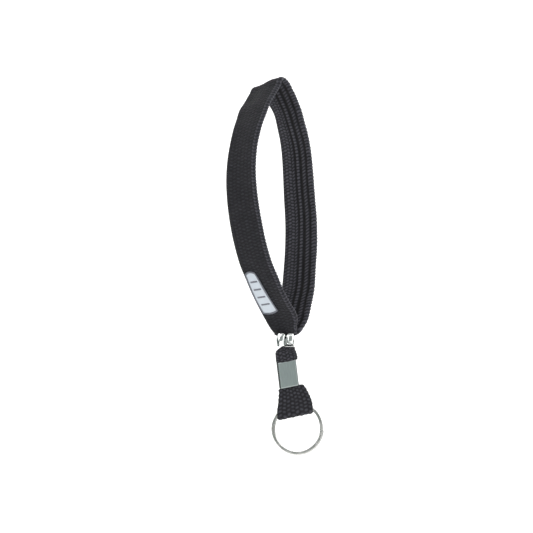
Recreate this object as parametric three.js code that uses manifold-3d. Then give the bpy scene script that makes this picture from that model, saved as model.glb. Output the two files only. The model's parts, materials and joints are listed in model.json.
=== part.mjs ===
// Wrist lanyard: a flat tubular braid looped for the wrist, gathered in a chrome crimp,
// held by a flat clamp, and folded round a split key ring.
// Millimetres, +Z up. The part hangs from the inside of the top of the wrist loop,
// which is the origin. -Y is the front.
import * as THREE from 'three';
import { mergeVertices } from 'three/addons/utils/BufferGeometryUtils.js';
import Module from 'manifold-3d';

// ---- Driving dimensions ----
const FIT_GAP = 0.3;             // between pieces that touch on the real lanyard

const BRAID_WIDTH = 17.8;        // flat braid, edge to edge
const BRAID_THICK = 1.4;
const LEG_WIDTH = 6.4;           // gathered braid inside the clamp
const LEG_THICK = 1.3;
const GATHER_WIDTH = 10.4;       // each end of the wrist loop just above the crimp
const GATHER_THICK = 2.0;
const GATHER_LENGTH = 11.0;

const LABEL_START = 11.5;        // along the braid from the crimp end to the label
const LABEL_LENGTH = 23.0;
const LABEL_LOW_WIDTH = 9.2;     // end nearer the crimp
const LABEL_HIGH_WIDTH = 6.0;
const LABEL_THICK = 0.4;
const LABEL_EDGE_INSET = 1.3;    // from the braid's far edge to the label's border
const BORDER_WIDTH = 0.8;        // stitched border round the label

const CRIMP_WIDTH = 8.7;
const CRIMP_DEPTH = 5.4;
const CRIMP_HEIGHT = 6.4;
const CRIMP_WALL = 0.5;
const CRIMP_SLIT = 0.3;          // between the two rolled-in ends
const CRIMP_CURL = 0.9;          // how far the rolled ends dig in
const CRIMP_DROP = 0.9;          // wrist loop's two ends to the crimp's upper mouth

const NECK_LENGTH = 7.0;         // crimp to clamp
const NECK_MOUTH_WIDTH = 5.6;    // braid as it leaves the crimp
const NECK_WIDTH = 8.6;          // widest, between the crimp and the clamp

const CLAMP_LENGTH = 12.4;
const CLAMP_WALL = 0.55;
const CLAMP_CORNER = 0.7;
const CLAMP_SEAM = 0.4;
const CLAMP_TAIL_LAP = 7.2;      // the ring loop's tail inside the clamp

const LOOP_TOP_WIDTH = 10.8;
const LOOP_LOW_WIDTH = 16.6;
const LOOP_LENGTH = 14.6;        // clamp's lower mouth to the underside of the fold
const LOOP_FLARE = 9.5;          // height over which the loop spreads to its full width
const LOOP_SEAT_CLEARANCE = 0.3; // ring to the inside of the fold

const RING_OUTER_DIAMETER = 25.0;
const RING_BAND = 1.35;          // radial width of the flat wire
const RING_COIL_THICK = 0.95;
const RING_COIL_GAP = 0.1;

// ---- Places and attitudes ----
const CRIMP_TILT = 0;            // degrees, lower end to +X
const CLAMP_TILT = 5.2;
const LOOP_TILT = 11.4;
const LOOP_OFFSET = 0.5;         // the ring loop sits this far to +X of the clamp's middle
const LOWER_YAW = 8;             // degrees, the clamp's face turned to +X

// The wrist loop's middle line, from the crimp up the front arm, over the top and down
// the rear arm: x, y, z, then the width direction's turn towards the front and its pitch.
const WRIST_ROUTE = [
  [8.5, -1.1, -118.3, 5, 0],
  [8.4, -1.2, -117.5, 8, 0],
  [7.7, -1.9, -115.8, 16, 0],
  [6.2, -3.5, -111.4, 27, 0],
  [3.0, -6.2, -105.7, 33, 2],
  [0.0, -8.9, -99.8, 35, 3],
  [-3.0, -11.3, -92.7, 35, 3],
  [-6.0, -13.6, -85.5, 35, 2],
  [-8.6, -15.4, -76.6, 35, 0],
  [-10.5, -16.7, -67.5, 35, 0],
  [-12.0, -17.5, -57.6, 37, 0],
  [-12.8, -17.7, -47.5, 40, 0],
  [-12.7, -17.2, -38.6, 43, 1],
  [-11.7, -15.9, -29.8, 45, 3],
  [-9.8, -13.7, -21.2, 44, 6],
  [-7.8, -11.2, -15.6, 43, 9],
  [-6.2, -8.8, -11.0, 42, 11],
  [-4.2, -6.0, -7.2, 40, 15],
  [-2.2, -3.0, -3.2, 38, 18],
  [0, 0, 0.7, 38, 20],
  [2.5, 3.2, -0.9, 38, 19],
  [4.6, 5.8, -4.5, 39, 17],
  [6.6, 8.3, -8.4, 41, 14],
  [8.9, 10.9, -13.2, 43, 10],
  [10.7, 12.9, -18.6, 44, 6],
  [12.4, 15.0, -24.6, 43, 3],
  [13.6, 16.5, -31.5, 41, 1],
  [14.5, 17.5, -41.8, 39, 0],
  [15.2, 17.8, -53.3, 37, 0],
  [15.9, 17.4, -64.8, 36, 0],
  [15.9, 15.9, -76.3, 35, 0],
  [15.1, 12.9, -88.8, 35, 0],
  [14.3, 9.8, -98.4, 33, 0],
  [12.9, 7.2, -104.6, 30, 0],
  [11.6, 4.8, -109.7, 26, 0],
  [10.6, 2.9, -113.9, 18, 0],
  [9.6, 1.7, -116.4, 10, 0],
  [8.6, 1.2, -117.5, 6, 0],
  [8.5, 1.1, -118.3, 5, 0],
];

// ---- Sizes and places that follow ----
const [FRONT_END, REAR_END] = [WRIST_ROUTE.at(0), WRIST_ROUTE.at(-1)].map(
  ([x, y, z]) => new THREE.Vector3(x, y, z));
const CRIMP_CENTRE = FRONT_END.clone().add(REAR_END).multiplyScalar(0.5);
CRIMP_CENTRE.z -= CRIMP_DROP + CRIMP_HEIGHT / 2;
const NOSE_RADIUS = LEG_THICK + FIT_GAP / 2;
const CLAMP_INNER_WIDTH = LEG_WIDTH + 2 * FIT_GAP;
const CLAMP_INNER_DEPTH = 2 * LEG_THICK + 3 * FIT_GAP;
const CLAMP_WIDTH = CLAMP_INNER_WIDTH + 2 * CLAMP_WALL;
const CLAMP_DEPTH = CLAMP_INNER_DEPTH + 2 * CLAMP_WALL;
// A nose turned in the lanyard's plane lifts one end, and each hinge drops to clear it.
const noseRise = (width, turn) => (width / 2) * Math.sin(THREE.MathUtils.degToRad(turn));
const NECK_HINGE_DROP = FIT_GAP + NOSE_RADIUS + noseRise(NECK_MOUTH_WIDTH, CLAMP_TILT - CRIMP_TILT);
const LOOP_HINGE_DROP = FIT_GAP + NOSE_RADIUS + noseRise(LOOP_TOP_WIDTH, LOOP_TILT - CLAMP_TILT);
const RING_INNER_RADIUS = RING_OUTER_DIAMETER / 2 - RING_BAND;
const RING_HALF_THICK = RING_COIL_THICK + RING_COIL_GAP / 2;
const FOLD_CHANNEL = RING_HALF_THICK + LOOP_SEAT_CLEARANCE;
const FOLD_OUTER = FOLD_CHANNEL + BRAID_THICK;
const FOLD_DROP = LOOP_LENGTH - FOLD_OUTER;
// The ring rests on the fold where it leaves the braid's two edges.
const RING_DROP = FOLD_DROP - LOOP_SEAT_CLEARANCE
  + Math.sqrt(FOLD_CHANNEL ** 2 - RING_HALF_THICK ** 2)
  + Math.sqrt(RING_INNER_RADIUS ** 2 - (LOOP_LOW_WIDTH / 2) ** 2);

const MATERIALS = {
  braid: new THREE.MeshStandardMaterial({ color: 0x26282b, roughness: 0.85 }),
  label: new THREE.MeshStandardMaterial({ color: 0xdfe5ec, roughness: 0.75 }),
  border: new THREE.MeshStandardMaterial({ color: 0x8c9196, roughness: 0.8 }),
  chrome: new THREE.MeshStandardMaterial({ color: 0xd5d9d8, roughness: 0.12, metalness: 1 }),
  clamp: new THREE.MeshStandardMaterial({ color: 0x82918f, roughness: 0.45, metalness: 0.4 }),
  steel: new THREE.MeshStandardMaterial({ color: 0xb9bab5, roughness: 0.22, metalness: 1 }),
};

const wasm = await Module();
wasm.setup();

function toSolid(geometry) {
  const bare = geometry.clone();
  bare.deleteAttribute('normal');
  bare.deleteAttribute('uv');
  const merged = mergeVertices(bare, 1e-4);
  return new wasm.Manifold(new wasm.Mesh({
    numProp: 3,
    vertProperties: new Float32Array(merged.attributes.position.array),
    triVerts: new Uint32Array(merged.index.array),
  }));
}

function toGeometry(solid) {
  const mesh = solid.getMesh();
  const geometry = new THREE.BufferGeometry();
  geometry.setAttribute('position', new THREE.BufferAttribute(mesh.vertProperties, 3));
  geometry.setIndex(new THREE.BufferAttribute(mesh.triVerts, 1));
  return geometry;
}

function named(name, geometry, material) {
  const mesh = new THREE.Mesh(geometry, material);
  mesh.name = name;
  return mesh;
}

// A closed outline of width w and height h centred on the origin, with round corners.
function roundedRectangle(w, h, radius) {
  const r = Math.min(radius, w / 2 - 0.01, h / 2 - 0.01);
  const shape = new THREE.Shape();
  shape.moveTo(-w / 2 + r, -h / 2);
  shape.lineTo(w / 2 - r, -h / 2);
  shape.absarc(w / 2 - r, -h / 2 + r, r, -Math.PI / 2, 0);
  shape.lineTo(w / 2, h / 2 - r);
  shape.absarc(w / 2 - r, h / 2 - r, r, 0, Math.PI / 2);
  shape.lineTo(-w / 2 + r, h / 2);
  shape.absarc(-w / 2 + r, h / 2 - r, r, Math.PI / 2, Math.PI);
  shape.lineTo(-w / 2, -h / 2 + r);
  shape.absarc(-w / 2 + r, -h / 2 + r, r, Math.PI, Math.PI * 1.5);
  shape.closePath();
  return shape;
}

function unitSquare() {
  const corners = [[-0.5, -0.5], [0.5, -0.5], [0.5, 0.5], [-0.5, 0.5]];
  return new THREE.Shape(corners.map(([x, y]) => new THREE.Vector2(x, y)));
}

function extrude(shape, depth, steps = 1, curveSegments = 6) {
  return new THREE.ExtrudeGeometry(shape, { depth, steps, curveSegments, bevelEnabled: false });
}

function mapVertices(geometry, place) {
  const position = geometry.attributes.position;
  const point = new THREE.Vector3();
  for (let i = 0; i < position.count; i += 1) {
    point.fromBufferAttribute(position, i);
    place(point);
    position.setXYZ(i, point.x, point.y, point.z);
  }
  geometry.deleteAttribute('normal');
  geometry.deleteAttribute('uv');
  return mergeVertices(geometry, 1e-4);
}

// ---- The wrist loop's route, as a frame at any distance along it ----
function wristRoute() {
  const points = WRIST_ROUTE.map(([x, y, z]) => new THREE.Vector3(x, y, z));
  const curve = new THREE.CatmullRomCurve3(points, false, 'centripetal');
  curve.arcLengthDivisions = 2000;
  const length = curve.getLength();
  const lastIndex = WRIST_ROUTE.length - 1;
  function frameAt(distance) {
    const u = THREE.MathUtils.clamp(distance / length, 0, 1);
    const t = curve.getUtoTmapping(u);
    const index = Math.min(Math.floor(t * lastIndex), lastIndex - 1);
    const share = t * lastIndex - index;
    const turn = (k) => THREE.MathUtils.degToRad(
      THREE.MathUtils.lerp(WRIST_ROUTE[index][k], WRIST_ROUTE[index + 1][k], share));
    const yaw = turn(3);
    const pitch = turn(4);
    const along = curve.getTangent(t).normalize();
    const across = new THREE.Vector3(
      Math.cos(pitch) * Math.cos(yaw), -Math.cos(pitch) * Math.sin(yaw), Math.sin(pitch));
    across.addScaledVector(along, -across.dot(along)).normalize();
    const out = new THREE.Vector3().crossVectors(along, across).normalize();
    return { centre: curve.getPoint(t), along, across, out };
  }
  return { length, frameAt };
}

const route = wristRoute();

function easeOut(share) {
  return Math.sin((Math.PI / 2) * THREE.MathUtils.clamp(share, 0, 1));
}

// The braid draws in and thickens over the last stretch before the crimp.
function gatherShare(distance) {
  const fromEnd = Math.min(distance, route.length - distance);
  return 1 - easeOut(fromEnd / GATHER_LENGTH);
}

function braidWidthAt(distance) {
  return THREE.MathUtils.lerp(BRAID_WIDTH, GATHER_WIDTH, gatherShare(distance));
}

function braidThickAt(distance) {
  return THREE.MathUtils.lerp(BRAID_THICK, GATHER_THICK, gatherShare(distance));
}

// ---- Crimp: an open barrel of sheet, its two ends rolled in at the front ----
const LOBE_RADIUS = (CRIMP_WIDTH - CRIMP_SLIT) / 4;
const LOBE_X = CRIMP_WIDTH / 2 - LOBE_RADIUS;
const LOBE_Y = -CRIMP_DEPTH / 2 + LOBE_RADIUS;
const BACK_Y = CRIMP_DEPTH / 2;

// One side of the barrel's section, as points set in from its outer face.
function barrelSide(inset, side, innerY) {
  const radius = LOBE_RADIUS - inset;
  const points = [new THREE.Vector2(side * (CRIMP_SLIT / 2 + inset), innerY)];
  const ARC_STEPS = 10;
  for (let i = 0; i <= ARC_STEPS; i += 1) {
    const angle = Math.PI + (Math.PI * i) / ARC_STEPS;
    points.push(new THREE.Vector2(
      side * (LOBE_X + radius * Math.cos(angle)), LOBE_Y + radius * Math.sin(angle)));
  }
  const cornerY = BACK_Y - LOBE_RADIUS;
  for (let i = 0; i <= ARC_STEPS / 2; i += 1) {
    const angle = (Math.PI / 2) * (i / (ARC_STEPS / 2));
    points.push(new THREE.Vector2(
      side * (LOBE_X + radius * Math.cos(angle)), cornerY + radius * Math.sin(angle)));
  }
  return points;
}

function crimpGeometry() {
  const tipY = LOBE_Y + CRIMP_CURL;
  const outer = [...barrelSide(0, 1, tipY), ...barrelSide(0, -1, tipY).reverse()];
  const inner = [...barrelSide(CRIMP_WALL, -1, tipY), ...barrelSide(CRIMP_WALL, 1, tipY).reverse()];
  const shape = new THREE.Shape([...outer, ...inner]);
  const geometry = extrude(shape, CRIMP_HEIGHT);
  geometry.translate(0, 0, -CRIMP_HEIGHT / 2);
  return geometry;
}

// The two ends of the wrist loop squeezed together inside the crimp.
function crimpedBundle() {
  const inset = CRIMP_WALL + FIT_GAP;
  const grooveY = LOBE_Y + CRIMP_CURL + FIT_GAP;
  const outline = [...barrelSide(inset, 1, grooveY), ...barrelSide(inset, -1, grooveY).reverse()];
  const LAP_ON_ARMS = 1.5;
  const below = CRIMP_HEIGHT / 2 - FIT_GAP;
  const above = CRIMP_HEIGHT / 2 + CRIMP_DROP + LAP_ON_ARMS;
  const geometry = extrude(new THREE.Shape(outline), below + above);
  geometry.translate(0, 0, -below);
  geometry.applyMatrix4(new THREE.Matrix4().makeRotationY(THREE.MathUtils.degToRad(-CRIMP_TILT)));
  geometry.translate(CRIMP_CENTRE.x, CRIMP_CENTRE.y, CRIMP_CENTRE.z);
  return geometry;
}

function wristBraidGeometry() {
  const STEPS = 84;
  const EDGE_ROUND = 0.5;
  const strip = extrude(roundedRectangle(BRAID_WIDTH, BRAID_THICK, EDGE_ROUND), 1, STEPS, 2);
  const bent = mapVertices(strip, (point) => {
    const distance = point.z * route.length;
    const frame = route.frameAt(distance);
    const acrossBy = (point.x * braidWidthAt(distance)) / BRAID_WIDTH;
    const outBy = (point.y * braidThickAt(distance)) / BRAID_THICK;
    point.copy(frame.centre);
    point.addScaledVector(frame.across, acrossBy);
    point.addScaledVector(frame.out, outBy);
  });
  return toGeometry(toSolid(bent).add(toSolid(crimpedBundle())));
}

// ---- Label: a plain patch on the outer face of the front arm, with a stitched border ----
// Its place on the braid: distance along it, and offset across it from the middle.
function labelCentreAcross(share) {
  const width = THREE.MathUtils.lerp(LABEL_LOW_WIDTH, LABEL_HIGH_WIDTH, share);
  return -BRAID_WIDTH / 2 + LABEL_EDGE_INSET + width / 2;
}

function placeOnBraid(point, share, acrossBy, liftBy) {
  const distance = LABEL_START + share * LABEL_LENGTH;
  const frame = route.frameAt(distance);
  const outFace = -(braidThickAt(distance) / 2 + FIT_GAP + liftBy);
  point.copy(frame.centre);
  point.addScaledVector(frame.across, acrossBy);
  point.addScaledVector(frame.out, outFace);
}

// A patch set in from the label's outer edge, between two heights above the braid's face.
function patchGeometry(inset, lowLift, highLift) {
  const STEPS = 16;
  const endShare = inset / LABEL_LENGTH;
  return mapVertices(extrude(unitSquare(), 1, STEPS), (point) => {
    const share = THREE.MathUtils.lerp(endShare, 1 - endShare, point.z);
    const width = THREE.MathUtils.lerp(LABEL_LOW_WIDTH, LABEL_HIGH_WIDTH, share) - 2 * inset;
    const liftBy = THREE.MathUtils.lerp(highLift, lowLift, point.y + 0.5);
    placeOnBraid(point, share, labelCentreAcross(share) + point.x * width, liftBy);
  });
}

function labelGeometry() {
  return patchGeometry(BORDER_WIDTH + FIT_GAP, 0, LABEL_THICK);
}

function labelBorderGeometry() {
  const whole = toSolid(patchGeometry(0, 0, LABEL_THICK));
  const middle = toSolid(patchGeometry(BORDER_WIDTH, -LABEL_THICK, 2 * LABEL_THICK));
  return toGeometry(whole.subtract(middle));
}

// ---- Lower assembly. Each group's origin is a mouth, with the pieces below it at -Z ----
// The braid swells between the crimp and the clamp, and is squeezed by both.
function neckWidthAt(drop) {
  const swell = THREE.MathUtils.smoothstep(drop, 0, NECK_LENGTH * 0.45);
  const squeeze = THREE.MathUtils.smoothstep(drop, NECK_LENGTH * 0.8, NECK_LENGTH - FIT_GAP);
  const swollen = THREE.MathUtils.lerp(NECK_MOUTH_WIDTH, NECK_WIDTH, swell);
  return THREE.MathUtils.lerp(swollen, LEG_WIDTH, squeeze);
}

// A leg of gathered braid. Its top is a quarter-round nose, so that it turns below the crimp.
function legGeometry(side, length) {
  const STEPS = 26;
  const CROWD_TO_TOP = 1.6;
  const noseTop = NECK_HINGE_DROP - NOSE_RADIUS;
  const TIP = 0.02;
  const leg = mapVertices(extrude(unitSquare(), 1, STEPS), (point) => {
    const down = TIP + (length - TIP) * (1 - point.z) ** CROWD_TO_TOP;
    const belowHinge = Math.min(down - NOSE_RADIUS, 0);
    const outer = Math.sqrt(NOSE_RADIUS ** 2 - belowHinge ** 2);
    const depth = THREE.MathUtils.lerp(FIT_GAP / 2, outer, point.y + 0.5);
    const drop = noseTop + down;
    point.set(point.x * neckWidthAt(drop), depth, -drop);
  });
  if (side < 0) {
    leg.rotateZ(Math.PI);
  }
  return leg;
}

// The ring loop's free end, back up inside the clamp behind the front leg.
function loopTailGeometry() {
  const length = CLAMP_TAIL_LAP - FIT_GAP;
  const tail = extrude(roundedRectangle(LEG_WIDTH, LEG_THICK, 0.3), length);
  tail.translate(0, FIT_GAP / 2 + LEG_THICK / 2, -CLAMP_LENGTH + FIT_GAP);
  return tail;
}

function clampGeometry() {
  const shape = roundedRectangle(CLAMP_WIDTH, CLAMP_DEPTH, CLAMP_CORNER);
  const innerCorner = CLAMP_CORNER - CLAMP_WALL;
  shape.holes.push(roundedRectangle(CLAMP_INNER_WIDTH, CLAMP_INNER_DEPTH, innerCorner));
  const sleeve = extrude(shape, CLAMP_LENGTH);
  const cutDepth = 3 * CLAMP_WALL;
  const seam = new THREE.BoxGeometry(CLAMP_SEAM, cutDepth, 2 * CLAMP_LENGTH);
  seam.translate(0, CLAMP_INNER_DEPTH / 2 + cutDepth / 2 - FIT_GAP / 2, CLAMP_LENGTH / 2);
  const cut = toGeometry(toSolid(sleeve).subtract(toSolid(seam)));
  cut.translate(0, 0, -CLAMP_LENGTH);
  return cut;
}

// The braid folded round the ring, seen from its side: a nose at the clamp, two legs,
// a channel for the ring and the fold below it. Its width grows towards the fold.
function ringLoopGeometry() {
  const foldY = -(FOLD_DROP - LOOP_HINGE_DROP);
  const ringTop = RING_DROP - LOOP_HINGE_DROP - RING_OUTER_DIAMETER / 2;
  const shoulderY = -(ringTop - 2 * FIT_GAP);
  const side = new THREE.Shape();
  side.moveTo(NOSE_RADIUS, 0);
  side.absarc(0, 0, NOSE_RADIUS, 0, Math.PI);
  side.bezierCurveTo(-NOSE_RADIUS, shoulderY / 2, -FOLD_OUTER, shoulderY / 2, -FOLD_OUTER, shoulderY);
  side.lineTo(-FOLD_OUTER, foldY);
  side.absarc(0, foldY, FOLD_OUTER, Math.PI, 2 * Math.PI);
  side.lineTo(FOLD_OUTER, shoulderY);
  side.bezierCurveTo(FOLD_OUTER, shoulderY / 2, NOSE_RADIUS, shoulderY / 2, NOSE_RADIUS, 0);
  const hole = new THREE.Path();
  const apexY = shoulderY * 0.45;
  hole.moveTo(0, apexY);
  hole.quadraticCurveTo(FOLD_CHANNEL, apexY, FOLD_CHANNEL, shoulderY);
  hole.lineTo(FOLD_CHANNEL, foldY);
  hole.absarc(0, foldY, FOLD_CHANNEL, 0, -Math.PI, true);
  hole.lineTo(-FOLD_CHANNEL, shoulderY);
  hole.quadraticCurveTo(-FOLD_CHANNEL, apexY, 0, apexY);
  side.holes.push(hole);
  const ACROSS_STEPS = 4;
  return mapVertices(extrude(side, 1, ACROSS_STEPS, 8), (point) => {
    const flare = easeOut((NOSE_RADIUS - point.y) / LOOP_FLARE);
    const width = THREE.MathUtils.lerp(LOOP_TOP_WIDTH, LOOP_LOW_WIDTH, flare);
    point.set((point.z - 0.5) * width, point.x, point.y);
  });
}

// Two turns of flat wire. The wire steps from one coil to the other over a short ramp,
// and its two ends lie against that ramp. The ring's plane is XZ, its centre the origin.
function splitRingGeometry() {
  const RAMP = THREE.MathUtils.degToRad(24);
  const END_CLEARANCE = THREE.MathUtils.degToRad(9);
  const RAMP_ANGLE = THREE.MathUtils.degToRad(20);
  const start = RAMP + END_CLEARANCE;
  const sweep = 4 * Math.PI - 2 * start;
  const STEPS = 104;
  const offset = (RING_COIL_THICK + RING_COIL_GAP) / 2;
  const middle = RING_OUTER_DIAMETER / 2 - RING_BAND / 2;
  const wire = extrude(roundedRectangle(RING_BAND, RING_COIL_THICK, 0.28), 1, STEPS, 1);
  return mapVertices(wire, (point) => {
    const angle = start + point.z * sweep;
    const ramp = THREE.MathUtils.smoothstep(angle, 2 * Math.PI - RAMP, 2 * Math.PI + RAMP);
    const axial = THREE.MathUtils.lerp(-offset, offset, ramp) + point.y;
    const radius = middle + point.x;
    point.set(
      radius * Math.cos(angle + RAMP_ANGLE), axial, radius * Math.sin(angle + RAMP_ANGLE));
  });
}

// ---- Scene graph ----
const lanyard = new THREE.Group();
lanyard.add(named('wrist_braid', wristBraidGeometry(), MATERIALS.braid));
lanyard.add(named('wrist_label', labelGeometry(), MATERIALS.label));
lanyard.add(named('label_border', labelBorderGeometry(), MATERIALS.border));

const crimpGroup = new THREE.Group();
crimpGroup.position.copy(CRIMP_CENTRE);
crimpGroup.rotation.y = THREE.MathUtils.degToRad(-CRIMP_TILT);
crimpGroup.add(named('neck_crimp', crimpGeometry(), MATERIALS.chrome));
lanyard.add(crimpGroup);

// The neck and clamp hang from the crimp's lower mouth.
const neckGroup = new THREE.Group();
neckGroup.position.z = -CRIMP_HEIGHT / 2;
neckGroup.rotation.set(
  0,
  THREE.MathUtils.degToRad(-(CLAMP_TILT - CRIMP_TILT)),
  THREE.MathUtils.degToRad(LOWER_YAW));
crimpGroup.add(neckGroup);
const noseToMouth = NECK_LENGTH + CLAMP_LENGTH - FIT_GAP - (NECK_HINGE_DROP - NOSE_RADIUS);
const frontLegLength = noseToMouth;
const backLegLength = noseToMouth - CLAMP_TAIL_LAP;
neckGroup.add(named('neck_leg_front', legGeometry(-1, frontLegLength), MATERIALS.braid));
neckGroup.add(named('neck_leg_back', legGeometry(1, backLegLength), MATERIALS.braid));

const clampGroup = new THREE.Group();
clampGroup.position.z = -NECK_LENGTH;
clampGroup.add(named('clamp_sleeve', clampGeometry(), MATERIALS.clamp));
clampGroup.add(named('ring_loop_tail', loopTailGeometry(), MATERIALS.braid));
neckGroup.add(clampGroup);

// The ring loop turns on a line just below the clamp's lower mouth.
const loopGroup = new THREE.Group();
loopGroup.position.set(LOOP_OFFSET, 0, -CLAMP_LENGTH - LOOP_HINGE_DROP);
loopGroup.rotation.y = THREE.MathUtils.degToRad(-(LOOP_TILT - CLAMP_TILT));
loopGroup.add(named('ring_loop_braid', ringLoopGeometry(), MATERIALS.braid));
clampGroup.add(loopGroup);

const ringMesh = named('split_ring', splitRingGeometry(), MATERIALS.steel);
ringMesh.position.z = -(RING_DROP - LOOP_HINGE_DROP);
loopGroup.add(ringMesh);

export default lanyard;
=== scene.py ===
"""Wrist lanyard: the finished surfaces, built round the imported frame.

The file is laid out as an add-on and is run as a script. Lengths are metres, +Z is up and -Y is the
front. The lanyard hangs from the inside of the top of its wrist loop, which is the origin. In each
piece, x runs across it to the right, y to the rear and z up, in that piece's own turned directions.
"""
import json
import math

import bmesh
import bpy
import numpy as np
from bpy.props import FloatProperty, FloatVectorProperty, IntProperty, PointerProperty
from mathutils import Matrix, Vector


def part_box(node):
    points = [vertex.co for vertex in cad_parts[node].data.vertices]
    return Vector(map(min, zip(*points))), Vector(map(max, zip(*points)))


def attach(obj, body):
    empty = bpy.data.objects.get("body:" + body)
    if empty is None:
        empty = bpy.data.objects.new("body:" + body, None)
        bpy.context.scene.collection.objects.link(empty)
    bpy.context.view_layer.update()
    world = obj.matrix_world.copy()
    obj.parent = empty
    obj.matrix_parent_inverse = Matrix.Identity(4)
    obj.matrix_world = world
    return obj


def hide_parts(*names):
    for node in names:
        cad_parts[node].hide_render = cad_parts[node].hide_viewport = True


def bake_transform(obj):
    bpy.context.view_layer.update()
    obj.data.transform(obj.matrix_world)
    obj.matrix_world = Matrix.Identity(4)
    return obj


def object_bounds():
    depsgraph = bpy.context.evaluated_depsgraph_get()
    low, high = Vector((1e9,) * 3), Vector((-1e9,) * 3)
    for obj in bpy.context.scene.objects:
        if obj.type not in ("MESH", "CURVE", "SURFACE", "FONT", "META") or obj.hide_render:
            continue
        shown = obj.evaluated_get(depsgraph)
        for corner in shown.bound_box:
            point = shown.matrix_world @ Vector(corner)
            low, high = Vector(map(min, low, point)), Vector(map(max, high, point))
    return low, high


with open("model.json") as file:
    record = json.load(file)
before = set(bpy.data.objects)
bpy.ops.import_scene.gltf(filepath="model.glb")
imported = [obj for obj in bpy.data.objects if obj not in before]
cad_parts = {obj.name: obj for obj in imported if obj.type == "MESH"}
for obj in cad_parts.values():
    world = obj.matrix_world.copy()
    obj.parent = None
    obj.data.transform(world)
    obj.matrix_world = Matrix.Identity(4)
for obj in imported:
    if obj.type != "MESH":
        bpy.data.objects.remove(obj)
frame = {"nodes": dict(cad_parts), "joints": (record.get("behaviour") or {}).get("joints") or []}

bl_info = {
    "name": "Wrist lanyard",
    "version": (1, 0, 0),
    "blender": (4, 5, 0),
    "location": "View3D > Sidebar > Lanyard",
    "description": "Builds a braided wrist lanyard with its crimp, clamp and split ring",
    "category": "Add Mesh",
}

MM = 0.001
TINY = 1e-6
DOWN = np.array([[0.0, 0.0, -1.0]])
CAD_LOW, CAD_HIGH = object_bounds()
JOINTS = {joint["name"]: joint for joint in frame["joints"]}

# The wrist strap's middle line from the crimp up the front arm, over the top and down the rear arm:
# x, y, z in metres, then the width direction's turn towards the front and its pitch in degrees.
WRIST_ROUTE = (
    (0.0085, -0.0011, -0.1183, 5, 0),
    (0.0084, -0.0012, -0.1175, 8, 0),
    (0.0077, -0.0019, -0.1158, 16, 0),
    (0.0062, -0.0035, -0.1114, 27, 0),
    (0.0030, -0.0062, -0.1057, 33, 2),
    (0.0, -0.0089, -0.0998, 35, 3),
    (-0.0030, -0.0113, -0.0927, 35, 3),
    (-0.0060, -0.0136, -0.0855, 35, 2),
    (-0.0086, -0.0154, -0.0766, 35, 0),
    (-0.0105, -0.0167, -0.0675, 35, 0),
    (-0.0120, -0.0175, -0.0576, 37, 0),
    (-0.0128, -0.0177, -0.0475, 40, 0),
    (-0.0127, -0.0172, -0.0386, 43, 1),
    (-0.0117, -0.0159, -0.0298, 45, 3),
    (-0.0098, -0.0137, -0.0212, 44, 6),
    (-0.0078, -0.0112, -0.0156, 43, 9),
    (-0.0062, -0.0088, -0.0110, 42, 11),
    (-0.0042, -0.0060, -0.0072, 40, 15),
    (-0.0022, -0.0030, -0.0032, 38, 18),
    (0.0, 0.0, 0.0007, 38, 20),
    (0.0025, 0.0032, -0.0009, 38, 19),
    (0.0046, 0.0058, -0.0045, 39, 17),
    (0.0066, 0.0083, -0.0084, 41, 14),
    (0.0089, 0.0109, -0.0132, 43, 10),
    (0.0107, 0.0129, -0.0186, 44, 6),
    (0.0124, 0.0150, -0.0246, 43, 3),
    (0.0136, 0.0165, -0.0315, 41, 1),
    (0.0145, 0.0175, -0.0418, 39, 0),
    (0.0152, 0.0178, -0.0533, 37, 0),
    (0.0159, 0.0174, -0.0648, 36, 0),
    (0.0159, 0.0159, -0.0763, 35, 0),
    (0.0151, 0.0129, -0.0888, 35, 0),
    (0.0143, 0.0098, -0.0984, 33, 0),
    (0.0129, 0.0072, -0.1046, 30, 0),
    (0.0116, 0.0048, -0.1097, 26, 0),
    (0.0106, 0.0029, -0.1139, 18, 0),
    (0.0096, 0.0017, -0.1164, 10, 0),
    (0.0086, 0.0012, -0.1175, 6, 0),
    (0.0085, 0.0011, -0.1183, 5, 0),
)


# ---- Small sums ----
def smoothstep(low, high, value):
    share = np.clip((value - low) / (high - low), 0.0, 1.0)
    return share * share * (3 - 2 * share)


def mixed(low, high, share):
    return low + (high - low) * share


def unit(vectors):
    return vectors / np.linalg.norm(vectors, axis=-1, keepdims=True)


def scatter(column, row):
    """A steady number from 0 to 1 for each stitch, from its column and row."""
    wave = np.sin(column * 12.9898 + row * 78.233) * 43758.5453
    return wave - np.floor(wave)


# ---- Frames: rows of a middle line, with the directions across it and out of it ----
class Frames:
    """Places along a middle line, each with its distance, centre, across and out directions."""

    def __init__(self, distance, centre, across, out):
        self.distance, self.centre = distance, centre
        self.across, self.out = across, out


def centripetal_curve(points, per_span):
    """A centripetal Catmull-Rom curve through points, with per_span steps between two of them."""
    padded = np.vstack([2 * points[0] - points[1], points, 2 * points[-1] - points[-2]])
    gaps = np.sqrt(np.linalg.norm(np.diff(padded, axis=0), axis=1))
    places = []
    for k in range(len(points) - 1):
        p0, p1, p2, p3 = padded[k:k + 4]
        d0, d1, d2 = gaps[k:k + 3]
        leave = ((p1 - p0) / d0 - (p2 - p0) / (d0 + d1) + (p2 - p1) / d1) * d1
        reach = ((p2 - p1) / d1 - (p3 - p1) / (d1 + d2) + (p3 - p2) / d2) * d1
        t = (np.arange(per_span) / per_span)[:, None]
        cubic = (2 * p1 - 2 * p2 + leave + reach) * t**3
        square = (3 * p2 - 3 * p1 - 2 * leave - reach) * t**2
        places.append(p1 + leave * t + square + cubic)
    places.append(points[-1:])
    return np.vstack(places)


def resampled(distance_in, values, distance_out):
    return np.stack([np.interp(distance_out, distance_in, column) for column in values.T], axis=1)


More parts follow.
